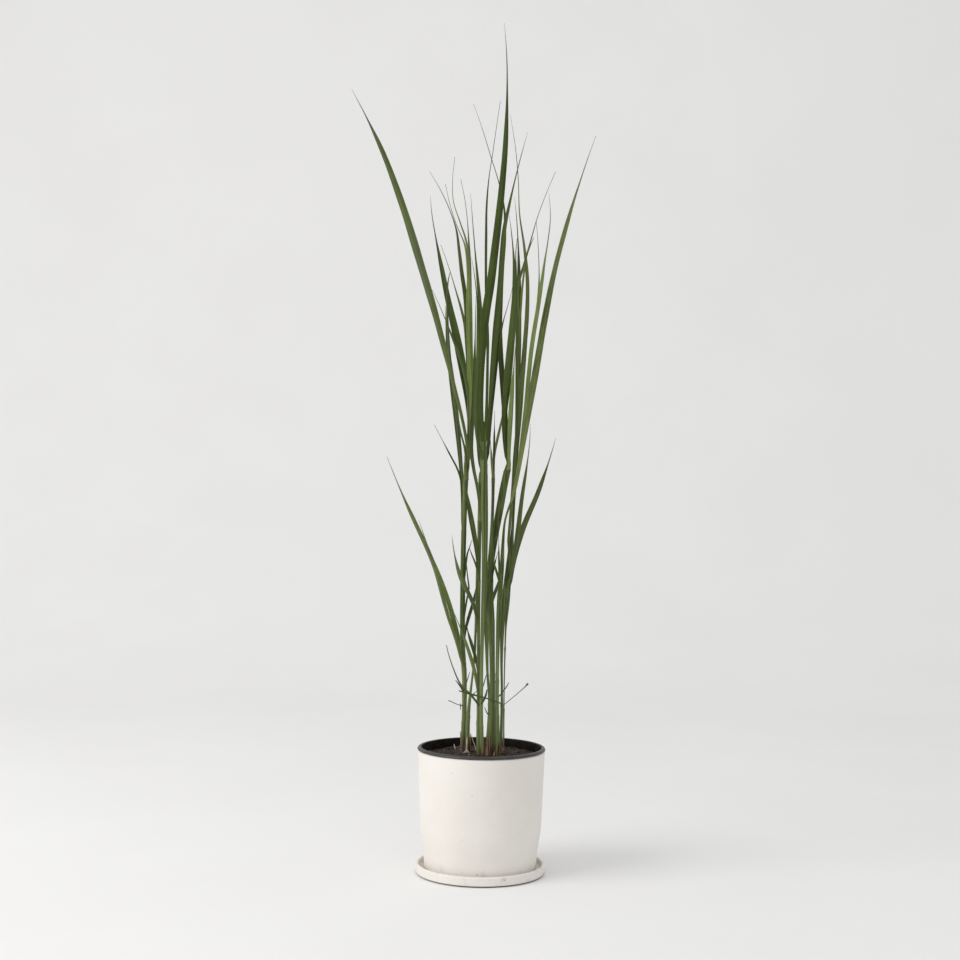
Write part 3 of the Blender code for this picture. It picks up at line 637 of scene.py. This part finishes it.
# %% Finish: stems
def stem_finish(name, deep, light, dry, dry_from, dry_to):
    """A stem's finish; it turns dry below a height in metres."""
    finish, tree, shader = plant_finish(name, 0.5)
    coords = put(tree, "TexCoord")
    streaks = []
    for fineness, low, high in (((420, 420, 6), 0.36, 0.64), ((1500, 1500, 9), 0.55, 0.68)):
        place = put(tree, "Mapping", {"Vector": coords.outputs["Object"], "Scale": fineness})
        streak = put(tree, "TexNoise", {"Vector": place.outputs[0], "Scale": 1.0, "Detail": 2.0})
        streaks.append(stretch(tree, streak.outputs[0], low, high))
    broad, fine = streaks
    z = put(tree, "SeparateXYZ", {"Vector": coords.outputs["Object"]}).outputs[2]
    colour = blend(tree, broad, deep, light)
    low_down = maths(tree, "MULTIPLY", stretch(tree, z, 0.33, 0.20), 0.55)
    colour = blend(tree, low_down, colour, (0.19, 0.235, 0.095))
    # Painted highlight: thin pale green streaks laid over the stem's colour.
    colour = blend(tree, maths(tree, "MULTIPLY", fine, 0.5), colour, (0.27, 0.33, 0.15))
    ragged = maths(tree, "ADD", z, maths(tree, "MULTIPLY", broad, 0.010))
    shreds = blend(tree, maths(tree, "MAXIMUM", broad, fine), (0.030, 0.018, 0.010), dry)
    colour = blend(tree, stretch(tree, ragged, dry_to, dry_from), colour, shreds)
    brown = maths(tree, "MULTIPLY", stretch(tree, ragged, 0.152, 0.141), 0.6)
    colour = blend(tree, brown, colour, (0.050, 0.028, 0.014))
    tree.links.new(colour, shader.inputs["Base Color"])
    tree.links.new(stretch(tree, broad, 0, 1, 0.42, 0.58), shader.inputs["Roughness"])
    raise_surface(tree, shader, maths(tree, "ADD", broad, fine), 0.00015, 0.5)
    return finish


STEM_DEEP, STEM_LIGHT = (0.034, 0.050, 0.011), (0.105, 0.135, 0.042)
stem_straw = stem_finish("stem_straw", STEM_DEEP, STEM_LIGHT, (0.20, 0.145, 0.085), 0.148, 0.168)
stem_ochre = stem_finish("stem_ochre", STEM_DEEP, STEM_LIGHT, (0.17, 0.105, 0.030), 0.143, 0.158)
stem_blushed = stem_finish("stem_blushed", STEM_DEEP, STEM_LIGHT, (0.26, 0.155, 0.085), 0.155, 0.178)
stem_rust = stem_finish("stem_rust", STEM_DEEP, STEM_LIGHT, (0.17, 0.088, 0.040), 0.146, 0.158)

# %% [markdown]
# ## The stems
# A stem could be a plain tapered tube, but real ones show where each leaf leaves: the sheath ends in
# a small step, and its two margins overlap in a line down the back. The tube starts as a flat grid
# that is rolled up, so that it keeps its UV map, and its radius follows those steps. Width and route
# come from the CAD stem.

# %% Helpers: smooth lines and strips
def smooth_rows(rows, count):
    """Evenly spread rows on a smooth curve through the given rows; the first 3 columns are places."""
    rows = np.array(rows, float)
    spans = np.maximum(np.linalg.norm(np.diff(rows[:, :3], axis=0), axis=1), 1e-9)
    times = np.concatenate([[0], np.cumsum(spans)])
    slopes = np.gradient(rows, times, axis=0)
    made = []
    for time in np.linspace(0, times[-1], count):
        k = min(int(np.searchsorted(times, time, side="right")) - 1, len(spans) - 1)
        u = (time - times[k]) / spans[k]
        made.append((2 * u**3 - 3 * u**2 + 1) * rows[k] + (3 * u**2 - 2 * u**3) * rows[k + 1]
                    + ((u**3 - 2 * u**2 + u) * slopes[k] + (u**3 - u**2) * slopes[k + 1]) * spans[k])
    return np.array(made)


def flat_strip(name, points):
    """A grid with UVs, each of its points carried to its place in a (along, across, 3) table."""
    along, across = points.shape[0] - 1, points.shape[1] - 1
    bpy.ops.object.select_all(action="DESELECT")
    bpy.ops.mesh.primitive_grid_add(x_subdivisions=across, y_subdivisions=along, size=1)
    piece = bpy.context.object
    piece.name = piece.data.name = name
    flat = np.zeros(3 * len(piece.data.vertices))
    piece.data.vertices.foreach_get("co", flat)
    flat = flat.reshape(-1, 3)
    column = np.rint((flat[:, 0] + 0.5) * across).astype(int)
    row = np.rint((flat[:, 1] + 0.5) * along).astype(int)
    piece.data.vertices.foreach_set("co", points[row, column].ravel())
    piece.data.update()
    return piece, row, column


def close_shell(piece, smooth=60):
    """Weld the seam of a rolled strip, close its ends and turn its faces out."""
    select_only(piece)
    bpy.ops.object.mode_set(mode="EDIT")
    bpy.ops.mesh.select_all(action="SELECT")
    bpy.ops.mesh.remove_doubles(threshold=1e-7)
    bpy.ops.mesh.fill_holes(sides=0)
    bpy.ops.mesh.select_all(action="SELECT")
    bpy.ops.mesh.normals_make_consistent(inside=False)
    bpy.ops.object.mode_set(mode="OBJECT")
    bpy.ops.object.shade_smooth_by_angle(angle=math.radians(smooth))


# %% Read the stems and the blades from the model
def stem_line(node):
    """Stations (x, y, z, half width, half depth) of a CAD stem, foot first."""
    points = np.array([v.co for v in node.data.vertices])
    levels = np.unique(np.round(points[:, 2], 5))
    stations = []
    for level in levels:
        ring = points[np.abs(points[:, 2] - level) < 2e-5]
        low, high = ring.min(0), ring.max(0)
        deep = (high[1] - low[1]) / 2 / math.cos(math.pi / 6)
        stations.append((*((low + high) / 2), (high[0] - low[0]) / 2, deep))
    return np.array(stations)


def blade_stations(node):
    """Stations of a CAD blade, foot first: left margin, rib and right margin of each."""
    shape = bmesh.new()
    shape.from_mesh(node.data)
    bmesh.ops.remove_doubles(shape, verts=shape.verts, dist=1e-6)
    ends = sorted(shape.verts, key=lambda v: v.co.z)
    chord = ends[-1].co - ends[0].co
    ring = sorted(shape.verts, key=lambda v: v.co.dot(chord))[:4]
    seen, stations, before = set(ring), [], None
    while ring:
        spots = sorted((np.array(v.co) for v in ring), key=lambda p: tuple(p))
        pairs = [(a, b) for n, a in enumerate(spots) for b in spots[n + 1:]]
        left, right = max(pairs, key=lambda pair: np.linalg.norm(pair[1] - pair[0]))
        if before is not None and np.linalg.norm(left - before) > np.linalg.norm(right - before):
            left, right = right, left
        stations.append(np.concatenate([(sum(spots) - left - right) / 2, left, right]))
        before = left
        ring = [v for v in dict.fromkeys(e.other_vert(v) for v in ring for e in v.link_edges)
                if v not in seen]
        seen.update(ring)
    shape.free()
    return np.array(stations)


stem_lines = {name[5:]: smooth_rows(stem_line(node), 160)
              for name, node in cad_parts.items() if name.startswith("culm_")}
blades = {name[5:]: blade_stations(node)
          for name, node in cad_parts.items() if name.startswith("leaf_")}
print("stems:", sorted(stem_lines), "blades:", len(blades),
      "stations:", sorted({len(stations) for stations in blades.values()}))

# %% Where each blade leaves its stem
def stem_at(letter, z):
    """Centre x, y and half widths across and deep of a stem at a height."""
    line = stem_lines[letter]
    return [float(np.interp(z, line[:, 2], line[:, k])) for k in (0, 1, 3, 4)]


collars = {letter: [] for letter in stem_lines}
for name, stations in blades.items():
    foot = stations[0, :3]
    x, y, _, _ = stem_at(name[0], foot[2])
    collars[name[0]].append((foot[2], math.atan2(foot[1] - y, foot[0] - x), name))
for letter in collars:
    collars[letter].sort()
print({letter: len(found) for letter, found in collars.items()})

# %% The stems themselves
STEM_AROUND, STEM_STEP = 20, 1.2 * MM
LOW_NODES = {"a": (0.172, 0.205), "b": (0.183,), "c": (0.178,), "d": (0.176, 0.222), "e": (0.199,),
             "f": (0.180, 0.232), "g": (0.186, 0.226), "h": (0.196,), "i": (0.190, 0.262)}


def build_stem(letter):
    """Roll a strip into a stem with its nodes, collars and overlapping sheath margins."""
    line = stem_lines[letter]
    rows = int((line[-1, 2] - line[0, 2]) / STEM_STEP)
    line = smooth_rows(line, rows + 1)
    turns = np.linspace(0, math.tau, STEM_AROUND + 1)
    z = line[:, 2][:, None]
    swell = np.zeros((rows + 1, STEM_AROUND + 1))
    for top, azimuth, _ in collars[letter] + [(node, 2.1 * node / 0.04, "") for node in
                                              LOW_NODES[letter]]:
        mouth = top + 1.2 * MM * np.cos(turns - azimuth)[None, :]
        below = mouth - z
        seam = ((turns - azimuth - math.pi) % math.tau) / math.tau
        swell += np.where(below > 0, (0.18 + 0.12 * seam) * np.exp(-below / (11 * MM)), 0)
    for node in LOW_NODES[letter]:
        swell += 0.2 * np.exp(-((z - node + 2 * MM) / (1.6 * MM))**2)
    top = line[-1, 2]
    share = np.clip((top - z) / (11 * MM), 0.0, 1.0)
    slim = 0.16 + 0.84 * np.sqrt(share * (2 - share))
    across = (line[:, 3][:, None] + swell * MM) * slim
    deep = (line[:, 4][:, None] + swell * MM) * slim
    points = np.stack([line[:, 0][:, None] + across * np.cos(turns),
                       line[:, 1][:, None] + deep * np.sin(turns), z + 0 * turns], axis=2)
    points[:, -1] = points[:, 0]
    piece, _, _ = flat_strip("stem_" + letter, points)
    close_shell(piece)
    return piece


STEM_FINISH = {"c": stem_ochre, "d": stem_ochre, "e": stem_blushed, "f": stem_rust, "g": stem_rust}
for letter in sorted(stem_lines):
    hand_over(build_stem(letter), "stem", STEM_FINISH.get(letter, stem_straw), "culm_" + letter)

# %% [markdown]
# ## The blades
# A blade is one thin strip: folded along its midrib, wrapped round the stem at its foot, widest
# past the middle and drawn out to a hair at the tip. It starts as a flat grid with a UV map. The
# grid's points are carried to the blade's smooth surface, the margins are rippled a little, and a
# Solidify modifier gives it a body that is thicker at the midrib than at the margins.

# %% Helper: the surface of a blade
BLADE_ACROSS, BLADE_STEP = 10, 4.5 * MM
HAIR_WIDTHS, HAIR_FROM = (3.2 * MM, 6.2 * MM), (0.58, 0.82)


def eased(value, low, high):
    """0 below low, 1 above high, and a soft step between."""
    t = np.clip((value - low) / (high - low), 0, 1)
    return t * t * (3 - 2 * t)


def blade_surface(name, stations):
    """Points (along, across, 3) of a blade, from its CAD stations."""
    length = np.linalg.norm(np.diff(stations[:, :3], axis=0), axis=1).sum()
    rows = max(18, int(length / BLADE_STEP))
    line = smooth_rows(stations, rows + 1)
    rib, left, right = line[:, :3], line[:, 3:6], line[:, 6:]
    share = np.linspace(0, 1, rows + 1)[:, None]
    point = np.where(share > 0.93, np.sqrt(np.clip((1 - share) / 0.07, 0, 1)), 1.0)
    point = 0.3 + 0.7 * point
    width = np.linalg.norm(right - left, axis=1)[:, None]
    thread_like = 1 - 0.58 * (1 - eased(width, *HAIR_WIDTHS)) * eased(share, *HAIR_FROM)
    point = point * thread_like
    middle = (left + right) / 2
    half = (right - left) / 2 * point
    fold = (rib - middle) * point
    middle = middle + (rib - middle) * (1 - point)
    u = np.linspace(-1, 1, BLADE_ACROSS + 1)
    bow = 1 - np.abs(u)**1.4
    seed = sum(map(ord, name))
    ripple = np.array([[noise.noise(Vector((s * length / 0.045, side * 3.1, seed * 1.7)))
                        for side in (-1, 1)] for s in share[:, 0]])
    ripple = np.where(u[None, :] < 0, ripple[:, :1], ripple[:, 1:]) * np.abs(u)[None, :]**2
    outward = fold / np.maximum(np.linalg.norm(fold, axis=1)[:, None], 1e-9)
    sway = np.minimum(np.linalg.norm(half, axis=1)[:, None] * 0.22, 0.7 * MM)
    points = (middle[:, None] + u[None, :, None] * half[:, None] + bow[None, :, None] * fold[:, None]
              + (ripple * sway)[:, :, None] * outward[:, None])
    return points, length, share[:, 0]


def hug_stem(name, points, length, share):
    """Wrap a blade's foot round its stem and start it a little inside the sheath's mouth."""
    letter = name[0]
    foot = points[0].mean(0)
    x, y, across, deep = stem_at(letter, foot[2])
    azimuth = math.atan2(foot[1] - y, foot[0] - x)
    span = points[0, -1] - points[0, 0]
    tangent = np.array([-math.sin(azimuth), math.cos(azimuth), 0])
    sign = 1 if span @ tangent > 0 else -1
    spread = min(np.linalg.norm(span) / (across + deep), 1.25) * sign
    turns = azimuth + spread * np.linspace(-1, 1, points.shape[1])
    reach = min(16 * MM, length * 0.3)

    def wrapped(z, lift):
        """The foot's arc at a height, lifted off the stem."""
        cx, cy, rx, ry = stem_at(letter, z)
        return np.stack([cx + (rx + lift) * np.cos(turns), cy + (ry + lift) * np.sin(turns),
                         z + 0 * turns], axis=1)

    for k, s in enumerate(share * length):
        if s < reach:
            u = s / reach
            hold = 1 - u * u * (3 - 2 * u)
            arc = wrapped(points[k, :, 2].mean(), (0.18 + 0.5 * u) * MM)
            points[k] = hold * arc + (1 - hold) * points[k]
    below = [wrapped(foot[2] - drop, lift) for drop, lift in
             ((5 * MM, -0.5 * MM), (3 * MM, -0.15 * MM), (1.2 * MM, 0.08 * MM))]
    return np.concatenate([np.array(below), points])


# %% Helper: give a strip its thickness
def thicken(piece, column, across, thin, thick):
    """Solidify a strip, thick at its middle and thin at its margins."""
    select_only(piece)
    rib = piece.vertex_groups.new(name="rib")
    for k in range(across + 1):
        weight = max(0.0, 1 - abs(2 * k / across - 1) * 1.6)
        rib.add([int(n) for n in np.nonzero(column == k)[0]], thin / thick + weight *
                (1 - thin / thick), "REPLACE")
    body = piece.modifiers.new("thickness", "SOLIDIFY")
    body.thickness = thick
    body.offset = 0
    body.vertex_group = "rib"
    bpy.ops.object.modifier_apply(modifier=body.name)
    piece.vertex_groups.clear()
    bpy.ops.object.shade_smooth_by_angle(angle=math.radians(60))


# %% Build the blades
for name in sorted(blades):
    surface, length, share = blade_surface(name, blades[name])
    surface = hug_stem(name, surface, length, share)
    leaf, row, column = flat_strip("blade_" + name, surface)
    thicken(leaf, column, BLADE_ACROSS, 0.16 * MM, 0.55 * MM)
    hand_over(leaf, "blade", GREENS[tone_of.get(name, "mid")], "leaf_" + name)

# %% [markdown]
# ## Thin young leaves and side twigs
# Between the big blades stand a few hair-thin young leaves, and low on the stems are small
# side leaves and dry twigs. Each is a tapered tube along a handful of points. The twigs that the
# CAD model holds keep its route, and the others are new and start on the stem that bears them.

# %% Finish: dry twig
twig_finish, tree, shader = new_finish("twig_dry", 0.6)
bark = use_group(tree, clouds, Grain=220.0, Rough=0.6, Low=0.3, High=0.7).outputs[0]
tree.links.new(blend(tree, bark, (0.045, 0.038, 0.034), (0.120, 0.100, 0.085)),
               shader.inputs["Base Color"])
raise_surface(tree, shader, bark, 0.0002, 0.6)

# %% Helper: a tapered tube along points
def thread(name, route, around=8, step=2.0 * MM, flat=1.0):
    """A closed tube through (x, y, z, width) points in millimetres, flattened in depth."""
    route = np.array(route, float) * MM
    length = np.linalg.norm(np.diff(route[:, :3], axis=0), axis=1).sum()
    line = smooth_rows(route, max(6, int(length / step)))
    ahead = np.gradient(line[:, :3], axis=0)
    ahead /= np.linalg.norm(ahead, axis=1)[:, None]
    side = np.cross(ahead, [0, 1, 0])
    side /= np.linalg.norm(side, axis=1)[:, None]
    deep = np.cross(ahead, side)
    turns = np.linspace(0, math.tau, around + 1)
    ring = (np.cos(turns)[None, :, None] * side[:, None]
            + flat * np.sin(turns)[None, :, None] * deep[:, None])
    points = line[:, None, :3] + ring * np.maximum(line[:, 3], 0.1 * MM)[:, None, None] / 2
    points[:, -1] = points[:, 0]
    piece, _, _ = flat_strip(name, points)
    close_shell(piece)
    return piece


# %% The twigs of the CAD model
def twig_route(node):
    """Stations (x, y, z, width) in millimetres of a CAD twig, thick end first."""
    shape = bmesh.new()
    shape.from_mesh(node.data)
    bmesh.ops.remove_doubles(shape, verts=shape.verts, dist=1e-6)
    points = np.array([v.co for v in shape.verts])
    shape.free()
    ends = points[np.argsort(points @ (points[np.argmax(points[:, 0])]
                                       - points[np.argmin(points[:, 0])]))]
    rings = ends.reshape(-1, 5, 3)
    middles = rings.mean(1)
    widths = 2 * np.linalg.norm(rings - middles[:, None], axis=2).mean(1)
    return np.column_stack([middles, widths]) / MM


for name, finish, girth, start in (
        ("twig_left", GREENS["mid"], 1.0, None), ("twig_long", GREENS["deep"], 1.0, None),
        ("twig_left_low", twig_finish, 0.85, (-22.5, 27, 191.1, 1.9)),
        ("twig_right", twig_finish, 0.75, None)):
    route = twig_route(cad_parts[name])
    if start:
        if route[0, 0] < route[-1, 0]:
            route = route[::-1]
        route = np.concatenate([[start], route])
    route[:, 3] *= girth
    hand_over(thread("side_" + name, route, 8, 1.5 * MM, 0.7), "dry_twig", finish, name)

# %% The thin young leaves and small shoots
YOUNG_LEAVES = {
    "young_right": ("bright", [(37, 8, 463, 3.1), (38, 17, 544, 3.1), (39, 26, 617, 2.9),
                               (41, 35, 666, 2.6), (44, 43, 706, 2.4), (48, 52, 734, 1.8),
                               (52, 61, 747, 1.3), (57, 70, 760, 0.5)]),
    "young_left": ("mid", [(-25, 25, 448, 3.1), (-30, 31, 496, 3.1), (-37, 37, 556, 3.1),
                            (-45, 42, 623, 2.9), (-48, 48, 679, 2.4), (-47, 54, 704, 1.3),
                            (-45, 60, 715, 0.5)]),
    "young_middle": ("mid", [(36, 4, 472, 3.1), (36.4, -3, 531, 2.8), (35.5, -9, 613, 2.6),
                             (35, -14, 671, 1.9), (34, -19, 704, 1.4), (33, -25, 726, 1.0),
                             (34.4, -30, 741, 0.5)]),
    "young_low_left": ("mid", [(-20.3, 17, 460, 2.9), (-21.8, 14, 481, 2.9), (-24.7, 13, 500, 2.4),
                               (-29.3, 11, 517, 2.1), (-33, 10, 537, 1.7), (-36.3, 8, 557, 0.6)]),
    "young_front": ("mid", [(-5.9, -17, 282, 3.0), (-7.8, -21, 301, 3.5), (-10.6, -24, 312, 3.7),
                            (-14.4, -28, 321, 3.6), (-19.6, -31, 334, 3.0), (-22, -34, 346, 0.8)]),
    "sprig_one": ("dark", [(-22.6, 25, 296, 2.2), (-19.5, 22, 317, 2.1), (-17.2, 21, 332, 1.9),
                           (-18.3, 19, 341, 1.7), (-19.7, 17.6, 353, 1.2), (-20.6, 16, 363, 0.6)]),
    "sprig_two": ("dark", [(-22.5, 25, 345, 2.4), (-20.6, 22.5, 364, 2.2), (-19.3, 21, 373, 1.9),
                           (-17, 19.5, 380, 1.2), (-14.1, 18, 389, 0.5)]),
    "sprig_three": ("mid", [(-5.2, -14, 343, 2.3), (-7.7, -18.5, 356, 2.3), (-10.3, -21, 364, 2.2),
                            (-13.7, -23.5, 372, 1.6), (-16.7, -26, 380, 0.6)]),
}
for name, (tone, route) in YOUNG_LEAVES.items():
    hand_over(thread(name, route, 8, 3 * MM, 0.45), "blade", GREENS[tone])

SHOOTS = {
    "shoot_right": ("mid", [(18.5, -11, 206, 1.8), (21.3, -10, 208.6, 1.6), (24.5, -8.7, 213, 1.5),
                            (28.5, -7.3, 218, 1.3), (31.2, -6, 223, 0.7)]),
    "shoot_middle": ("dark", [(-1, -27.5, 200, 2.6), (0.9, -28, 203, 2.6), (4, -25, 209, 2.5),
                              (5.6, -21, 216, 1.2)]),
    "shoot_left": ("light", [(-14, -27, 207.5, 1.3), (-9.4, -26, 212, 1.2), (-6, -25, 215, 0.6)]),
    "shoot_up": ("mid", [(-20, 26, 214, 1.5), (-17.1, 23.5, 224, 1.2), (-14.8, 22, 231.5, 0.6)]),
    "shoot_low": ("mid", [(-21.5, 26, 206, 2.2), (-23.9, 24, 211, 2.1), (-27.5, 22, 216.5, 1.7),
                          (-31.7, 20, 222, 0.7)]),
    "shoot_thin": ("mid", [(0, -26.5, 218, 1.4), (1.5, -25, 222, 1.4), (3.7, -22.5, 230, 1.1),
                           (5.4, -20, 236, 0.5)]),
    "shoot_mid": ("mid", [(7.5, -14.5, 186, 1.4), (6, -16, 188.3, 1.3), (4.3, -16, 192, 1.1),
                          (3, -16, 195.2, 0.6)]),
}
for name, (tone, route) in SHOOTS.items():
    hand_over(thread(name, route, 7, 1.2 * MM, 0.6), "blade", GREENS[tone])
spur = thread("spur_left", [(-25.7, 24.5, 193.6, 0.9), (-25.5, 24.5, 189.3, 1.0),
                            (-25.3, 24.5, 186.2, 0.6)], 6, 1.0 * MM)
hand_over(spur, "dry_twig", twig_finish)
tip_x, tip_y, tip_z, _ = twig_route(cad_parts["twig_right"])[-1]
bud = thread("twig_bud", [(tip_x - 2.6, tip_y + 0.2, tip_z - 2.4, 1.0),
                          (tip_x - 1.4, tip_y, tip_z - 1.2, 2.2), (tip_x - 0.4, tip_y, tip_z - 0.2, 2.5),
                          (tip_x + 0.1, tip_y, tip_z + 0.2, 1.4)], 10, 0.4 * MM)
hand_over(bud, "dry_twig", twig_finish)
print("young leaves:", len(YOUNG_LEAVES), "shoots:", len(SHOOTS))

# %% [markdown]
# ## Dry sheaths and fibres at the foot
# The oldest sheaths die first: papery husks stand round the foot of each stem, torn at the top, and
# loose fibres lie between them. Each husk is a small strip bent round its stem and thickened.

# %% Finishes: husks
def husk_finish(name, dark, light):
    """Papery dry leaf with long streaks."""
    finish, tree, shader = new_finish(name, 0.75)
    coords = put(tree, "TexCoord")
    place = put(tree, "Mapping", {"Vector": coords.outputs["Object"], "Scale": (1100, 1100, 60)})
    streak = put(tree, "TexNoise", {"Vector": place.outputs[0], "Scale": 1.0, "Detail": 3.0})
    streak = stretch(tree, streak.outputs[0], 0.3, 0.7)
    tree.links.new(blend(tree, streak, dark, light), shader.inputs["Base Color"])
    raise_surface(tree, shader, streak, 0.0002, 0.7)
    return finish


husk_tan = husk_finish("husk_tan", (0.085, 0.058, 0.036), (0.32, 0.245, 0.160))
husk_rust = husk_finish("husk_rust", (0.070, 0.032, 0.014), (0.27, 0.145, 0.070))
husk_pink = husk_finish("husk_pink", (0.13, 0.070, 0.042), (0.36, 0.225, 0.145))
husk_pale = husk_finish("husk_pale", (0.34, 0.27, 0.19), (0.66, 0.58, 0.47))

# %% Build the husks
draw = random.Random(77)


def husk(name, letter, azimuth, height, width, flare):
    """A torn strip that hugs a stem's foot and leans out at its top."""
    rows, across = 14, 6
    points = np.zeros((rows + 1, across + 1, 3))
    ragged = [draw.uniform(0.82, 1.0) for _ in range(across + 1)]
    for j in range(rows + 1):
        t = j / rows
        narrow = (1 - 0.55 * t**2) * width
        for i in range(across + 1):
            z = 134 * MM + t * ragged[i] * height
            x, y, rx, ry = stem_at(letter, z)
            lift = (0.35 + flare * t**2.2) * MM + 0.5 * MM * noise.noise(
                Vector((t * 3, i * 0.7, azimuth * 5 + height * 900)))
            angle = azimuth + (2 * i / across - 1) * narrow / (rx + ry + lift)
            points[j, i] = (x + (rx + lift) * math.cos(angle), y + (ry + lift) * math.sin(angle), z)
    piece, _, column = flat_strip(name, points)
    thicken(piece, column, across, 0.14 * MM, 0.25 * MM)
    return piece


HUSKS = {"a": (3, husk_tan, 12), "b": (2, husk_tan, 12), "c": (2, husk_tan, 8),
         "d": (3, husk_rust, 8), "e": (5, husk_pink, 24), "f": (4, husk_rust, 13),
         "g": (4, husk_rust, 12), "h": (3, husk_tan, 12), "i": (1, husk_tan, 12)}
for letter, (count, finish, tallest) in HUSKS.items():
    for k in range(count):
        azimuth = math.tau * (k + draw.uniform(0.1, 0.7)) / count
        strip = husk(f"husk_{letter}{k + 1}", letter, azimuth,
                     (0.35 + 0.65 * draw.random()) * tallest * MM + 5 * MM,
                     draw.uniform(1.8, 3.2) * MM, draw.uniform(0.2, 1.5))
        hand_over(strip, "dry_twig", finish)
print("husks:", sum(count for count, _, _ in HUSKS.values()))

# %% Stubble and straws
STRAWS = {
    "stub_tan": (husk_tan, [(-22.8, 7, 136.5, 2.2), (-23.7, 7, 147.1, 1.8), (-24.4, 7, 155.3, 1.5),
                            (-25.1, 7, 163, 0.8)]),
    "leg_pale": (husk_pale, [(-17.7, 3, 136.5, 2.2), (-17.4, 3.5, 144.2, 1.7),
                             (-17.2, 4.5, 151.2, 1.8), (-16.8, 6.5, 157, 1.0)]),
    "root_pale_left": (husk_pale, [(-17.6, 3, 142, 1.4), (-19.2, 2, 140.2, 1.3),
                                   (-21.3, 1, 138.2, 0.7)]),
    "root_pale_right": (husk_pale, [(-17.6, 3, 142, 1.4), (-15.7, 2, 140.3, 1.2),
                                    (-13.3, 1, 138.2, 0.7)]),
    "straw_pale": (husk_pale, [(-4.8, 6, 137.5, 1.2), (-8, 7.5, 147.2, 1.0), (-10.2, 8.5, 152.9, 1.0),
                               (-11.6, 9, 158.1, 0.7)]),
    "stub_brown": (husk_rust, [(-13.1, 28, 137, 1.8), (-13, 28, 148.7, 1.6), (-12.8, 28, 157.6, 1.0)]),
    "straw_right": (husk_tan, [(21.6, 12, 137, 1.3), (23.4, 11.5, 147, 1.1), (24.7, 11, 151.8, 1.0),
                               (25.9, 11, 156.8, 0.9), (25.9, 11, 160.5, 0.6)]),
    "root_rust": (husk_rust, [(22, -1, 137.5, 1.7), (25.3, 1, 140.3, 1.6), (27.2, 3, 143.2, 1.2),
                              (27.6, 4, 146.4, 0.7)]),
    "patch_pale": (husk_pale, [(14.6, -9.4, 137.5, 2.4), (16.2, -9.7, 141.6, 2.8),
                               (17.7, -10, 145, 1.4)]),
    "stick_pale": (husk_pale, [(-30.8, 27, 137.5, 1.1), (-31.7, 27.5, 141.4, 1.3),
                               (-32.8, 28, 144.9, 0.8)]),
}
for name, (finish, route) in STRAWS.items():
    hand_over(thread(name, route, 7, 1.0 * MM, 0.7), "dry_twig", finish)
print("straws:", len(STRAWS))
